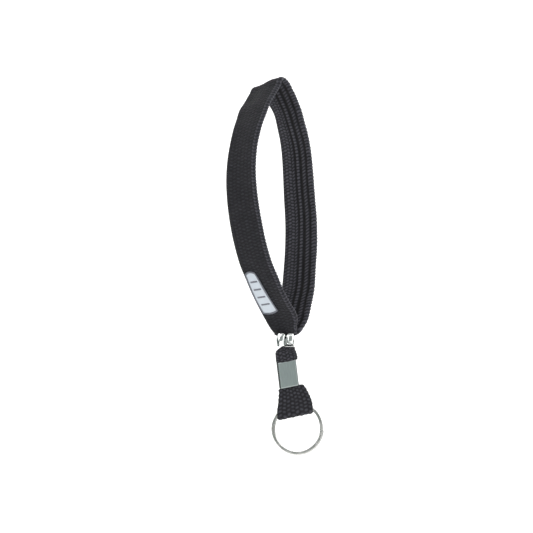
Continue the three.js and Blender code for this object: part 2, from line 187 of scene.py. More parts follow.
def wrist_frames(rows, beyond):
    """Evenly spaced frames along the wrist strap, run on straight past both of its ends."""
    PER_SPAN = 24
    route = np.array(WRIST_ROUTE, float)
    line = centripetal_curve(route[:, :3], PER_SPAN)
    along = unit(np.gradient(line, axis=0))
    distance = np.concatenate([[0], np.cumsum(np.linalg.norm(np.diff(line, axis=0), axis=1))])
    index = np.arange(len(line)) / PER_SPAN
    yaw, pitch = (np.radians(np.interp(index, np.arange(len(route)), route[:, k])) for k in (3, 4))
    across = np.stack(
        [np.cos(pitch) * np.cos(yaw), -np.cos(pitch) * np.sin(yaw), np.sin(pitch)], axis=1)
    wanted = np.linspace(-beyond, distance[-1] + beyond, rows)
    centre, along, across = (resampled(distance, v, wanted) for v in (line, along, across))
    along = unit(along)
    spare = wanted - np.clip(wanted, 0, distance[-1])
    centre = centre + along * spare[:, None]
    across = unit(across - along * np.sum(across * along, axis=1, keepdims=True))
    return Frames(wanted, centre, across, np.cross(along, across)), distance[-1]


# ---- Outlines of a swept section, in halves of its width and thickness ----
class Outline:
    """A closed section: x from -0.5 to 0.5 of the width, y of the thickness, with its normals."""

    def __init__(self, x, y, normal_x, normal_y, width, thickness):
        self.x, self.y = x / width, y / thickness
        self.normal_x, self.normal_y = normal_x, normal_y
        steps = np.hypot(np.diff(x, append=x[0]), np.diff(y, append=y[0]))
        self.girth = float(steps.sum())
        self.girth_at = np.concatenate([[0], np.cumsum(steps)[:-1]])


def rounded_outline(width, thickness, radius, corner_steps, wide_steps, thin_steps):
    """A rectangle with round corners, from the left end of the lower side, anticlockwise."""
    x, y, nx, ny = [], [], [], []
    half_w, half_t = width / 2 - radius, thickness / 2 - radius
    corners = (
        (half_w, -half_t, -90), (half_w, half_t, 0), (-half_w, half_t, 90), (-half_w, -half_t, 180))
    start = (-half_w, -thickness / 2)
    for number, (cx, cy, turn) in enumerate(corners):
        flat = wide_steps if number % 2 == 0 else thin_steps
        facing = math.cos(math.radians(turn)), math.sin(math.radians(turn))
        first = cx + radius * facing[0], cy + radius * facing[1]
        for k in range(flat):
            share = k / flat
            x.append(mixed(start[0], first[0], share))
            y.append(mixed(start[1], first[1], share))
            nx.append(facing[0])
            ny.append(facing[1])
        for k in range(corner_steps):
            angle = math.radians(turn + 90 * k / corner_steps)
            x.append(cx + radius * math.cos(angle))
            y.append(cy + radius * math.sin(angle))
            nx.append(math.cos(angle))
            ny.append(math.sin(angle))
        last = math.radians(turn + 90)
        start = (cx + radius * math.cos(last), cy + radius * math.sin(last))
    return Outline(*(np.array(v) for v in (x, y, nx, ny)), width, thickness)


# ---- Sweeping a section along frames, as a grid that is rolled up and closed ----
def sweep(name, outline, frames, width, thickness, relief=None, shade=None, offset=None):
    """A closed tube: the outline at every frame, at that frame's width and thickness.

    relief raises the surface along the outline's own normal, and offset moves points across and
    out; both get the outline's index and the frame's index of every vertex. shade is kept as the
    vertex attribute of the same name. The UV map is in metres round and along the tube.
    """
    around, along = len(outline.x), len(frames.distance) - 1
    bm = bmesh.new()
    bm.loops.layers.uv.new("UVMap")
    bmesh.ops.create_grid(bm, x_segments=around, y_segments=along, size=0.5, calc_uvs=True)
    first, last = {}, {}
    for vert in bm.verts:
        if abs(abs(vert.co.x) - 0.5) < TINY:
            (first if vert.co.x < 0 else last)[round((vert.co.y + 0.5) * along)] = vert
    bmesh.ops.weld_verts(bm, targetmap={last[row]: first[row] for row in first})
    rims = [edge for edge in bm.edges if len(edge.link_faces) == 1]
    bmesh.ops.holes_fill(bm, edges=rims, sides=0)
    mesh = mesh_from(bm, name)

    places = np.zeros(len(mesh.vertices) * 3)
    mesh.vertices.foreach_get("co", places)
    places = places.reshape(-1, 3)
    i = np.rint((places[:, 0] + 0.5) * around).astype(int) % around
    j = np.rint((places[:, 1] + 0.5) * along).astype(int)
    x = outline.x[i] * width[j]
    y = outline.y[i] * thickness[j]
    if relief is not None:
        height = relief(i, j)
        x = x + outline.normal_x[i] * height
        y = y + outline.normal_y[i] * height
    if offset is not None:
        more_x, more_y = offset(i, j)
        x, y = x + more_x, y + more_y
    points = frames.centre[j] + frames.across[j] * x[:, None] + frames.out[j] * y[:, None]
    mesh.vertices.foreach_set("co", points.ravel())
    if shade is not None:
        store = mesh.attributes.new("shade", "FLOAT", "POINT")
        store.data.foreach_set("value", shade(i, j).astype(np.float32))
    layer = mesh.uv_layers[0].data
    uv = np.zeros(len(layer) * 2, np.float32)
    layer.foreach_get("uv", uv)
    uv = uv.reshape(-1, 2) * (outline.girth, frames.distance[-1] - frames.distance[0])
    layer.foreach_set("uv", uv.astype(np.float32).ravel())
    return finished(name, mesh)


def mesh_from(bm, name):
    """Writes a bmesh to a new mesh, and frees it."""
    mesh = bpy.data.meshes.new(name)
    bm.to_mesh(mesh)
    bm.free()
    return mesh


def linked(name, mesh):
    """Links a mesh as a new object at the origin."""
    piece = bpy.data.objects.new(name, mesh)
    bpy.context.scene.collection.objects.link(piece)
    return piece


def finished(name, mesh):
    """Turns a mesh's faces outwards, smooths it and links it as an object at the origin."""
    bm = bmesh.new()
    bm.from_mesh(mesh)
    bmesh.ops.recalc_face_normals(bm, faces=bm.faces)
    bm.to_mesh(mesh)
    bm.free()
    mesh.shade_smooth()
    return linked(name, mesh)


# ---- Stitches ----
def pillow(x, y, notch):
    """The height of a plump stitch, for x and y from -1 to 1; notch is how deep its ends drop."""
    return np.clip(1 - np.abs(y)**1.9, 0, 1)**0.75 * (1 - notch * np.abs(x)**3)


def stitch_columns(u, v, first, column, count, pitch, lean=0.1, notch=0.5, stagger=0.5):
    """Columns of plump stitches across u, each set off from the next by part of the pitch v."""
    k = np.floor((u - first) / column)
    x = ((u - first) / column - k) * 2 - 1
    row = v / pitch + stagger * (k % 2) + lean * x * np.where(k % 2 == 0, 1, -1)
    row = row + 0.10 * np.sin(v * 0.9 / pitch + k * 2.1)
    y = (row - np.floor(row)) * 2 - 1
    height = pillow(x, y, notch) * (0.9 + 0.16 * scatter(k, np.floor(row)))
    return np.where((k >= 0) & (k < count), height, 0)


def rib(u, middle, half):
    """A smooth rib of round section."""
    return np.sqrt(np.clip(1 - ((u - middle) / half)**2, 0, 1))


# ---- Shader node helpers ----
def new_material(name):
    material = bpy.data.materials.new(name)
    material.use_nodes = True
    tree = material.node_tree
    tree.nodes.clear()
    output = tree.nodes.new("ShaderNodeOutputMaterial")
    shader = tree.nodes.new("ShaderNodeBsdfPrincipled")
    tree.links.new(shader.outputs["BSDF"], output.inputs["Surface"])
    return material, tree, shader


def added(tree, kind, **values):
    """A new node; values name its inputs, or its own properties where it has no such input."""
    node = tree.nodes.new(kind)
    for key, value in values.items():
        if hasattr(node, key):
            setattr(node, key, value)
        else:
            node.inputs[key.replace("_", " ").title()].default_value = value
    return node


def maths(tree, operation, first, second=None, clamp=False):
    node = added(tree, "ShaderNodeMath", operation=operation, use_clamp=clamp)
    for socket, value in zip(node.inputs, (first, second)):
        if isinstance(value, (int, float)):
            socket.default_value = value
        elif value is not None:
            tree.links.new(value, socket)
    return node.outputs[0]


def ramp(tree, factor, stops):
    node = added(tree, "ShaderNodeValToRGB")
    elements = node.color_ramp.elements
    while len(elements) < len(stops):
        elements.new(0.5)
    for element, (place, color) in zip(elements, stops):
        element.position = place
        element.color = (*color, 1) if len(color) == 3 else color
    tree.links.new(factor, node.inputs[0])
    return node.outputs[0]


def scaled_color(color, share):
    return tuple(share * part for part in color)


def mix_colors(tree, factor, first, second, blend="MIX"):
    node = added(tree, "ShaderNodeMix", data_type="RGBA", blend_type=blend)
    sockets = (node.inputs[0], node.inputs[6], node.inputs[7])
    for socket, value in zip(sockets, (factor, first, second)):
        if isinstance(value, (int, float)):
            socket.default_value = value
        elif isinstance(value, (tuple, list)):
            socket.default_value = (*value, 1)
        else:
            tree.links.new(value, socket)
    return node.outputs[2]


def group_of(name, inputs, outputs):
    """A new shader node group with float or vector inputs, and its input and output nodes."""
    group = bpy.data.node_groups.new(name, "ShaderNodeTree")
    for label, kind, default in inputs:
        socket = group.interface.new_socket(name=label, in_out="INPUT", socket_type=kind)
        if default is not None:
            socket.default_value = default
    for label in outputs:
        group.interface.new_socket(name=label, in_out="OUTPUT", socket_type="NodeSocketFloat")
    return group, group.nodes.new("NodeGroupInput"), group.nodes.new("NodeGroupOutput")


def spun_yarn_group():
    """Fine filaments that run across the tube, with lint: a height and a tone, from a UV map."""
    if "Spun yarn" in bpy.data.node_groups:
        return bpy.data.node_groups["Spun yarn"]
    group, given, result = group_of(
        "Spun yarn",
        (("Vector", "NodeSocketVector", None), ("Filaments", "NodeSocketFloat", 5.0)),
        ("Height", "Tone"))
    links = group.links
    scaled = added(group, "ShaderNodeVectorMath", operation="SCALE")
    scaled.inputs["Scale"].default_value = 1 / MM
    links.new(given.outputs["Vector"], scaled.inputs[0])
    wobble = added(group, "ShaderNodeTexNoise", scale=1.6, detail=2.0)
    links.new(scaled.outputs[0], wobble.inputs["Vector"])
    parts = added(group, "ShaderNodeSeparateXYZ")
    links.new(scaled.outputs[0], parts.inputs[0])
    drift = maths(group, "MULTIPLY", wobble.outputs[0], 0.9)
    slanted = maths(group, "ADD", parts.outputs["Y"], drift)
    per_turn = maths(group, "MULTIPLY", given.outputs["Filaments"], math.tau)
    strands = maths(group, "SINE", maths(group, "MULTIPLY", slanted, per_turn))
    grit = added(group, "ShaderNodeTexNoise", scale=9.0, detail=3.0)
    links.new(scaled.outputs[0], grit.inputs["Vector"])
    height = maths(group, "ADD", maths(group, "MULTIPLY", strands, 0.35), grit.outputs[0])
    lint = added(group, "ShaderNodeTexNoise", scale=0.45, detail=4.0)
    links.new(scaled.outputs[0], lint.inputs["Vector"])
    tone = maths(group, "ADD", maths(group, "MULTIPLY", lint.outputs[0], 0.7),
                 maths(group, "MULTIPLY", grit.outputs[0], 0.3))
    links.new(height, result.inputs["Height"])
    links.new(tone, result.inputs["Tone"])
    return group


def handling_group():
    """Smudges and hairline scratches on metal, from object coordinates: a mask and a height."""
    if "Handling" in bpy.data.node_groups:
        return bpy.data.node_groups["Handling"]
    group, given, result = group_of(
        "Handling",
        (("Vector", "NodeSocketVector", None), ("Size", "NodeSocketFloat", 1.0)),
        ("Smudge", "Scratch"))
    links = group.links
    scaled = added(group, "ShaderNodeVectorMath", operation="SCALE")
    links.new(given.outputs["Vector"], scaled.inputs[0])
    links.new(maths(group, "DIVIDE", 1 / MM, given.outputs["Size"]), scaled.inputs["Scale"])
    smudge = added(group, "ShaderNodeTexNoise", scale=0.35, detail=5.0)
    links.new(scaled.outputs[0], smudge.inputs["Vector"])
    stretched = added(group, "ShaderNodeMapping", scale=(9.0, 9.0, 0.5), rotation=(0.2, 0.35, 0.0))
    links.new(scaled.outputs[0], stretched.inputs["Vector"])
    hairs = added(group, "ShaderNodeTexNoise", scale=1.0, detail=2.0)
    links.new(stretched.outputs[0], hairs.inputs["Vector"])
    links.new(smudge.outputs[0], result.inputs["Smudge"])
    links.new(hairs.outputs[0], result.inputs["Scratch"])
    return group


def use_group(tree, group, vector, **values):
    node = tree.nodes.new("ShaderNodeGroup")
    node.node_tree = group
    tree.links.new(vector, node.inputs["Vector"])
    for key, value in values.items():
        node.inputs[key].default_value = value
    return node


def bump_into(tree, shader, height, strength, distance):
    node = added(tree, "ShaderNodeBump")
    node.inputs["Strength"].default_value = strength
    node.inputs["Distance"].default_value = distance
    tree.links.new(height, node.inputs["Height"])
    tree.links.new(node.outputs[0], shader.inputs["Normal"])


# ---- Materials ----
def braid_material(settings):
    """Matt black spun polyester: painted shade makes it dark between the stitches, and a painted
    highlight makes it a little paler on their crowns.
    """
    if "Black braid" in bpy.data.materials:
        return bpy.data.materials["Black braid"]
    material, tree, shader = new_material("Black braid")
    uv = added(tree, "ShaderNodeUVMap", uv_map="UVMap")
    yarn = use_group(tree, spun_yarn_group(), uv.outputs[0], Filaments=4.5)
    shade = added(tree, "ShaderNodeAttribute", attribute_name="shade")
    # The shade attribute runs from the grooves to the stitch crowns: this ramp paints shade into the
    # grooves and a highlight onto the crowns.
    relief_shading = ramp(tree, shade.outputs["Fac"], (
        (0.0, settings.groove_shade_color), (0.45, settings.yarn_color), (0.9, settings.crown_highlight_color)))
    tone = ramp(tree, yarn.outputs["Tone"], ((0.3, (0.62, 0.62, 0.66)), (0.7, (1.0, 0.98, 1.0))))
    color = mix_colors(tree, 0.8, relief_shading, tone, "MULTIPLY")
    tree.links.new(color, shader.inputs["Base Color"])
    shader.inputs["Roughness"].default_value = 0.78
    shader.inputs["Specular IOR Level"].default_value = 0.22
    shader.inputs["Sheen Weight"].default_value = 0.06
    shader.inputs["Sheen Roughness"].default_value = 0.45
    bump_into(tree, shader, yarn.outputs["Height"], 0.55, 0.00012)
    return material


def label_material(settings):
    """Pale woven satin: two sets of fine threads, with a slight change of tone between picks."""
    material, tree, shader = new_material("Pale label")
    uv = added(tree, "ShaderNodeUVMap", uv_map="UVMap")
    yarn = use_group(tree, spun_yarn_group(), uv.outputs[0], Filaments=3.2)
    parts = added(tree, "ShaderNodeSeparateXYZ")
    tree.links.new(uv.outputs[0], parts.inputs[0])
    WARP_PER_MM, WEFT_PER_MM = 2.6, 3.4
    across = maths(tree, "MULTIPLY", parts.outputs["X"], math.tau * WARP_PER_MM / MM)
    along = maths(tree, "MULTIPLY", parts.outputs["Y"], math.tau * WEFT_PER_MM / MM)
    warp, weft = maths(tree, "SINE", across), maths(tree, "SINE", along)
    weave = maths(tree, "MULTIPLY", warp, weft)
    height = maths(tree, "ADD", maths(tree, "MULTIPLY", weave, 0.5), yarn.outputs["Height"])
    color = mix_colors(
        tree, yarn.outputs["Tone"], scaled_color(settings.label_color, 0.82),
        scaled_color(settings.label_color, 1))
    tree.links.new(color, shader.inputs["Base Color"])
    shader.inputs["Roughness"].default_value = 0.55
    shader.inputs["Specular IOR Level"].default_value = 0.35
    shader.inputs["Sheen Weight"].default_value = 0.1
    bump_into(tree, shader, height, 0.45, 0.00008)
    return material


def thread_material(settings):
    """Grey embroidery thread of the label's border, with its twist."""
    material, tree, shader = new_material("Border thread")
    place = added(tree, "ShaderNodeTexCoord")
    yarn = use_group(tree, spun_yarn_group(), place.outputs["Object"], Filaments=5.0)
    color = mix_colors(
        tree, yarn.outputs["Tone"], scaled_color(settings.border_color, 0.5),
        scaled_color(settings.border_color, 1))
    tree.links.new(color, shader.inputs["Base Color"])
    shader.inputs["Roughness"].default_value = 0.5
    bump_into(tree, shader, yarn.outputs["Height"], 0.4, 0.00006)
    return material


def plated_material(name, color, roughness, scratch_size):
    """Bright plate: smudges change its gloss, and hairline scratches its surface."""
    material, tree, shader = new_material(name)
    place = added(tree, "ShaderNodeTexCoord")
    wear = use_group(tree, handling_group(), place.outputs["Object"], Size=scratch_size)
    gloss = ramp(tree, wear.outputs["Smudge"], (
        (0.35, (roughness * 0.6,) * 3), (0.7, (roughness * 1.7,) * 3)))
    tree.links.new(gloss, shader.inputs["Roughness"])
    tint = mix_colors(
        tree, wear.outputs["Smudge"], scaled_color(color, 0.86), scaled_color(color, 1))
    tree.links.new(tint, shader.inputs["Base Color"])
    shader.inputs["Metallic"].default_value = 1.0
    bump_into(tree, shader, wear.outputs["Scratch"], 0.12, 0.00005)
    return material


def clamp_material(settings):
    """Satin grey-green finish, brushed lengthwise, with painted shade on its sides and paler rims and
    corners that are partly rubbed wear and partly a painted highlight.
    """
    material, tree, shader = new_material("Satin clamp")
    uv = added(tree, "ShaderNodeUVMap", uv_map="UVMap")
    brushed = added(tree, "ShaderNodeMapping", scale=(0.25 / MM, 5.5 / MM, 1.0))
    tree.links.new(uv.outputs[0], brushed.inputs["Vector"])
    lines = added(tree, "ShaderNodeTexNoise", scale=1.0, detail=3.0)
    tree.links.new(brushed.outputs[0], lines.inputs["Vector"])
    place = added(tree, "ShaderNodeTexCoord")
    wear = use_group(tree, handling_group(), place.outputs["Object"], Size=1.4)
    body = ramp(tree, lines.outputs[0], (
        (0.3, scaled_color(settings.clamp_color, 0.82)),
        (0.72, scaled_color(settings.clamp_color, 1.12))))
    edge = added(tree, "ShaderNodeAttribute", attribute_name="shade")
    # The shade attribute is 0 on the clamp's sides, which get painted shade, 0.5 on its body and 1 on
    # its rims and corners, which get a painted highlight broken up by the smudges like wear.
    past_body = maths(tree, "SUBTRACT", edge.outputs["Fac"], 0.5)
    short_of_body = maths(tree, "SUBTRACT", 0.5, edge.outputs["Fac"])
    on_edge = maths(tree, "MULTIPLY", past_body, 2.0, clamp=True)
    rubbed_and_highlit = maths(tree, "MULTIPLY", on_edge, wear.outputs["Smudge"], clamp=True)
    shaded_side = maths(tree, "MULTIPLY", short_of_body, 2.0, clamp=True)
    worn_and_highlit = mix_colors(tree, rubbed_and_highlit, body, tuple(settings.clamp_edge_highlight_color))
    # Painted shade: the sides are darkened to a fifth of the clamp's colour and made rough.
    color = mix_colors(tree, shaded_side, worn_and_highlit, scaled_color(settings.clamp_color, 0.2))
    tree.links.new(color, shader.inputs["Base Color"])
    gloss = ramp(tree, lines.outputs[0], ((0.2, (0.36,) * 3), (0.8, (0.5,) * 3)))
    gloss = mix_colors(tree, shaded_side, gloss, (0.95, 0.95, 0.95))
    tree.links.new(gloss, shader.inputs["Roughness"])
    shader.inputs["Metallic"].default_value = 0.2
    shader.inputs["Specular IOR Level"].default_value = 0.35
    bump_into(tree, shader, lines.outputs[0], 0.25, 0.00006)
    return material


def stage_material(settings):
    material, tree, shader = new_material("Pale floor")
    place = added(tree, "ShaderNodeTexCoord")
    mottle = added(tree, "ShaderNodeTexNoise", scale=3.0, detail=3.0)
    tree.links.new(place.outputs["Object"], mottle.inputs["Vector"])
    color = ramp(tree, mottle.outputs[0], ((0.3, (0.93,) * 3), (0.7, (0.95,) * 3)))
    tree.links.new(color, shader.inputs["Base Color"])
    shader.inputs["Roughness"].default_value = 0.9
    shader.inputs["Emission Color"].default_value = (1, 1, 1, 1)
    shader.inputs["Emission Strength"].default_value = settings.floor_glow
    return material


# ---- Settings ----
class StrapSettings(bpy.types.PropertyGroup):
    """The braid that the whole lanyard is made of, and the label on it."""

    width: FloatProperty(
        name="Strap width", description="Flat braid, edge to edge", default=0.0178, subtype="DISTANCE")
    thickness: FloatProperty(
        name="Strap thickness", description="Flat braid between its two faces", default=0.0013,
        subtype="DISTANCE")
    gather_width: FloatProperty(
        name="Gathered width", description="Each end of the wrist loop just above the crimp",
        default=0.0104, subtype="DISTANCE")
    gather_length: FloatProperty(
        name="Gather length", description="Stretch over which the strap draws in", default=0.011,
        subtype="DISTANCE")
    row_pitch: FloatProperty(
        name="Row pitch", description="From one stitch to the next along the strap", default=0.0016,
        subtype="DISTANCE")
    stitch_height: FloatProperty(
        name="Stitch height", description="How far a stitch stands up", default=0.00034,
        subtype="DISTANCE")
    rows: IntProperty(
        name="Mesh rows", description="Mesh rows along the wrist strap", default=860, min=100, max=900)
    # The groove and crown colours are painted shade and a painted highlight; the yarn colour is the
    # braid's own.
    groove_shade_color: FloatVectorProperty(
        name="Groove colour", description="Between the stitches", size=3, subtype="COLOR",
        default=(0.003, 0.003, 0.004), min=0, max=1)
    yarn_color: FloatVectorProperty(
        name="Yarn colour", description="Flanks of the stitches", size=3, subtype="COLOR",
        default=(0.014, 0.0143, 0.0175), min=0, max=1)
    crown_highlight_color: FloatVectorProperty(
        name="Crown colour", description="Tops of the stitches", size=3, subtype="COLOR",
        default=(0.072, 0.073, 0.086), min=0, max=1)
    label_color: FloatVectorProperty(
        name="Label colour", description="Pale woven label", size=3, subtype="COLOR",
        default=(0.47, 0.515, 0.56), min=0, max=1)
    border_color: FloatVectorProperty(
        name="Border colour", description="Stitches round the label", size=3, subtype="COLOR",
        default=(0.16, 0.17, 0.20), min=0, max=1)


class FittingSettings(bpy.types.PropertyGroup):
    """The metal fittings below the wrist strap."""

    crimp_height: FloatProperty(
        name="Crimp height", description="Along the strap", default=0.0064, subtype="DISTANCE")
    neck_length: FloatProperty(
        name="Neck length", description="From the crimp to the clamp", default=0.0070,
        subtype="DISTANCE")
    clamp_length: FloatProperty(
        name="Clamp length", description="Along the strap", default=0.0124, subtype="DISTANCE")
    clamp_width: FloatProperty(
        name="Clamp width", description="Outside, across the front", default=0.0091, subtype="DISTANCE")
    clamp_depth: FloatProperty(
        name="Clamp depth", description="Outside, front to back", default=0.0046, subtype="DISTANCE")
    loop_top_width: FloatProperty(
        name="Ring loop top", description="Braid's width just below the clamp", default=0.0108,
        subtype="DISTANCE")
    loop_low_width: FloatProperty(
        name="Ring loop width", description="Braid's width at the fold", default=0.0169,
        subtype="DISTANCE")
    ring_diameter: FloatProperty(
        name="Ring diameter", description="Split ring, outside", default=0.025, subtype="DISTANCE")
    ring_band: FloatProperty(
        name="Ring band", description="Radial width of the ring's flat wire", default=0.00145,
        subtype="DISTANCE")
    chrome_color: FloatVectorProperty(
        name="Crimp colour", description="Bright plate on the crimp", size=3, subtype="COLOR",
        default=(0.86, 0.88, 0.87), min=0, max=1)
    clamp_color: FloatVectorProperty(
        name="Clamp colour", description="Satin finish", size=3, subtype="COLOR",
        default=(0.17, 0.205, 0.20), min=0, max=1)
    # The rubbed edge colour is partly wear and partly a painted highlight on the rims and corners.
    clamp_edge_highlight_color: FloatVectorProperty(
        name="Rubbed edge colour", description="Where the clamp's finish has worn", size=3,
        subtype="COLOR", default=(0.55, 0.60, 0.58), min=0, max=1)
    steel_color: FloatVectorProperty(
        name="Ring colour", description="Nickel plate on the ring", size=3, subtype="COLOR",
        default=(0.58, 0.58, 0.56), min=0, max=1)


class StageSettings(bpy.types.PropertyGroup):
    """Floor, lights and camera."""

    floor_drop: FloatProperty(
        name="Floor drop", description="From the lanyard's lowest point to the floor", default=0.12,
        subtype="DISTANCE")
    floor_radius: FloatProperty(
        name="Floor radius", description="Half the floor's width", default=2.6, subtype="DISTANCE")
    floor_glow: FloatProperty(
        name="Floor glow", description="Keeps the floor pale where the lights fall off", default=0.5)
    camera_distance: FloatProperty(
        name="Camera distance", description="In front of the lanyard", default=1.5, subtype="DISTANCE")
    view_width: FloatProperty(
        name="View width", description="What the camera sees across, at the lanyard", default=0.256,
        subtype="DISTANCE")
    top_light: FloatProperty(
        name="Top light", description="Soft light overhead", default=5.0, subtype="POWER")
    side_light: FloatProperty(
        name="Side light", description="Each soft light at the sides", default=2.0, subtype="POWER")
    world_light: FloatProperty(
        name="Room light", description="Even light from all round", default=0.15)


# ---- Shared places of the lower assembly ----
def joint_axis(name):
    return unit(np.array(JOINTS[name]["axis"], float)[None])[0]


def joint_place(name):
    return np.array(JOINTS[name]["pos_m"], float)


def lower_frame():
    """The clamp's own directions, and the crimp's lower mouth, from which neck and clamp hang."""
    x, y = joint_axis("neck_bend"), joint_axis("ring_spin")
    low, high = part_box("neck_crimp")
    mouth = np.array([(low.x + high.x) / 2, (low.y + high.y) / 2, low.z])
    return x, y, np.cross(x, y), mouth


def loop_frame():
    """The ring loop's own directions, and its hinge."""
    x, y = joint_axis("ring_loop_bend"), joint_axis("ring_spin")
    return x, y, np.cross(x, y), joint_place("ring_loop_bend")


# ---- Stage ----
# The dark cards that the bright metal mirrors: name, middle, width and colour. They face the crimp.
CARDS_FACE = (0.009, 0.0, -0.125)
CARDS = (
    ("Front card", (0.0, -1.1, -0.25), 1.5, (0.26, 0.29, 0.28)),
    ("Rear card", (0.0, 1.1, -0.2), 1.2, (0.30, 0.32, 0.31)),
    ("Left card", (-0.5, -0.12, -0.2), 0.45, (0.06, 0.08, 0.075)),
    ("Right card", (0.5, -0.05, -0.3), 0.3, (0.1, 0.1, 0.1)),
    ("Left rear card", (-0.45, 0.32, -0.2), 0.45, (0.08, 0.11, 0.10)),
    ("Right rear card", (0.45, 0.32, -0.25), 0.35, (0.2, 0.21, 0.2)),
    ("Low left card", (-0.20, -0.20, -0.23), 0.20, (0.03, 0.045, 0.04)),
    ("Low card", (0.12, -0.5, -0.42), 0.25, (0.02, 0.02, 0.02)),
)


class LANYARD_OT_stage(bpy.types.Operator):
    """Makes the camera, the pale floor with its raised rim, and the soft lights"""

    bl_idname = "lanyard.stage"
    bl_label = "Stage, camera and lights"

    def execute(self, context):
        settings = context.scene.lanyard_stage
        VIEW_X, VIEW_Z, SENSOR, CLIP = -0.0006, -0.0871, 36, 50
        camera = bpy.data.objects.new("Camera", bpy.data.cameras.new("Camera"))
        camera.location = (VIEW_X, -settings.camera_distance, VIEW_Z)
        camera.rotation_euler = (math.pi / 2, 0, 0)
        camera.data.sensor_width = SENSOR
        camera.data.lens = SENSOR * settings.camera_distance / settings.view_width
        camera.data.clip_end = CLIP
        context.scene.collection.objects.link(camera)
        context.scene.camera = camera

        self.floor(settings)
        self.light("Top light", (0.05, -0.25, 0.75), (0, 0, -0.08), 0.8, settings.top_light)
        self.light("Left light", (-0.8, -0.55, 0.25), (0, 0, -0.09), 0.5, settings.side_light)
        self.light("Right light", (0.85, -0.35, 0.3), (0, 0, -0.09), 0.5, settings.side_light)
        for name, place, size, color in CARDS:
            self.card(name, place, size, color)

        world = bpy.data.worlds.new("Room")
        world.use_nodes = True
        world.node_tree.nodes["Background"].inputs["Color"].default_value = (1, 1, 1, 1)
        world.node_tree.nodes["Background"].inputs["Strength"].default_value = settings.world_light
        context.scene.world = world
        context.scene.view_settings.view_transform = "Standard"
        return {"FINISHED"}

    def floor(self, settings):
        """A floor whose rim curves up all round, spun from its profile."""
        RIM_BEND, RIM_TOP, RIM_STEPS = 0.8, 2.2, 12
        level = CAD_LOW.z - settings.floor_drop
        flat = settings.floor_radius - RIM_BEND
        bm = bmesh.new()
        centre = bm.verts.new((0, 0, level))
        previous, edges = centre, []
        profile = [(flat + RIM_BEND * math.sin(a), level + RIM_BEND - RIM_BEND * math.cos(a))
                   for a in np.linspace(0, math.pi / 2, RIM_STEPS + 1)]
        profile.append((settings.floor_radius, level + RIM_TOP))
        for x, z in profile:
            vert = bm.verts.new((x, 0, z))
            edges.append(bm.edges.new((previous, vert)))
            previous = vert
        bmesh.ops.spin(
            bm, geom=list(bm.verts) + edges, cent=(0, 0, 0), axis=(0, 0, 1), dvec=(0, 0, 0),
            angle=math.tau, steps=64, use_merge=True)
        bmesh.ops.remove_doubles(bm, verts=bm.verts, dist=1e-5)
        bmesh.ops.recalc_face_normals(bm, faces=bm.faces)
        mesh = mesh_from(bm, "floor")
        mesh.shade_smooth()
        floor = linked("floor", mesh)
        mesh.materials.append(stage_material(settings))

    def light(self, name, place, target, size, power):
        data = bpy.data.lights.new(name, "AREA")
        data.shape, data.size, data.energy = "SQUARE", size, power
        lamp = bpy.data.objects.new(name, data)
        lamp.location = place
        lamp.rotation_euler = (Vector(target) - Vector(place)).to_track_quat("-Z", "Y").to_euler()
        bpy.context.scene.collection.objects.link(lamp)

    def card(self, name, place, size, color):
        """A dark card that only shows in the bright metal."""
        bm = bmesh.new()
        bmesh.ops.create_grid(bm, x_segments=1, y_segments=1, size=size / 2)
        turn = (Vector(CARDS_FACE) - Vector(place)).to_track_quat("Z", "Y").to_matrix()
        bmesh.ops.transform(bm, matrix=turn.to_4x4(), verts=bm.verts)
        bmesh.ops.translate(bm, vec=place, verts=bm.verts)
        mesh = mesh_from(bm, name)
        card = linked(name.replace(" ", "_").lower(), mesh)
        material, _, shader = new_material(name)
        shader.inputs["Base Color"].default_value = (*color, 1)
        mesh.materials.append(material)
        card.visible_camera = False
        card.visible_shadow = False
        card.visible_diffuse = False


# ---- Pieces ----
def strap_sizes(settings, frames, length):
    """Width, thickness and how far it is gathered, at every frame of the wrist strap."""
    GATHER_THICK = 0.0020
    from_end = np.minimum(frames.distance, length - frames.distance)
    gather = 1 - np.sin(math.pi / 2 * np.clip(from_end / settings.gather_length, 0, 1))
    width = mixed(settings.width, settings.gather_width, gather)
    thickness = mixed(settings.thickness, GATHER_THICK, gather)
    return width, thickness, gather


def strap_heights(u, v, normal_y, pitch):
    """Heights of the stitches on the faces and of the beads on the edge, in shares of the full one.

    u runs across from the rear edge, and the outer face is the one whose normal_y is below 0.
    """
    mm_u, mm_v, mm_pitch = u / MM, v / MM, pitch / MM
    wander = 0.12 * np.sin(mm_v * 0.21) + 0.08 * np.sin(mm_v * 0.067 + 1.3)
    mm_u = mm_u + wander
    twisted = 0.82 + 0.18 * np.sin(math.tau * (mm_v + 0.55 * mm_u) / mm_pitch)
    outer = 0.62 * rib(mm_u, 1.55, 0.8)
    outer = np.maximum(outer, 0.8 * stitch_columns(mm_u, mm_v, 2.4, 2.26, 6, mm_pitch, 0.1, 0.35))
    outer = np.maximum(outer, 1.4 * rib(mm_u, 16.95, 1.0) * (twisted**2))
    inner = 0.8 * stitch_columns(mm_u, mm_v, 0.2, 2.1, 1, mm_pitch, 0.1, 0.6)
    inner = np.maximum(inner, stitch_columns(mm_u, mm_v + 0.7, 2.3, 2.0, 2, mm_pitch, 0.1, 0.5))
    inner = np.maximum(inner, 0.95 * rib(mm_u, 7.3, 1.0) * twisted**2)
    inner = np.maximum(inner, 1.1 * stitch_columns(mm_u, mm_v, 9.1, 1.95, 1, mm_pitch, 0.1, 0.7))
    inner = np.maximum(inner, rib(mm_u, 13.5, 1.3) * twisted**2)
    inner = np.maximum(inner, stitch_columns(mm_u, mm_v, 15.6, 2.6, 1, mm_pitch, 0.3, 0.4))
    grooves = rib(mm_u, 8.65, 0.45) + rib(mm_u, 11.7, 0.6) + rib(mm_u, 15.2, 0.4)
    inner = np.maximum(inner, 0.22) - 0.2 * grooves
    beads = stitch_columns(normal_y * 0.9, mm_v, -1, 2, 1, mm_pitch, 0)
    return np.where(normal_y < 0, outer, inner), beads


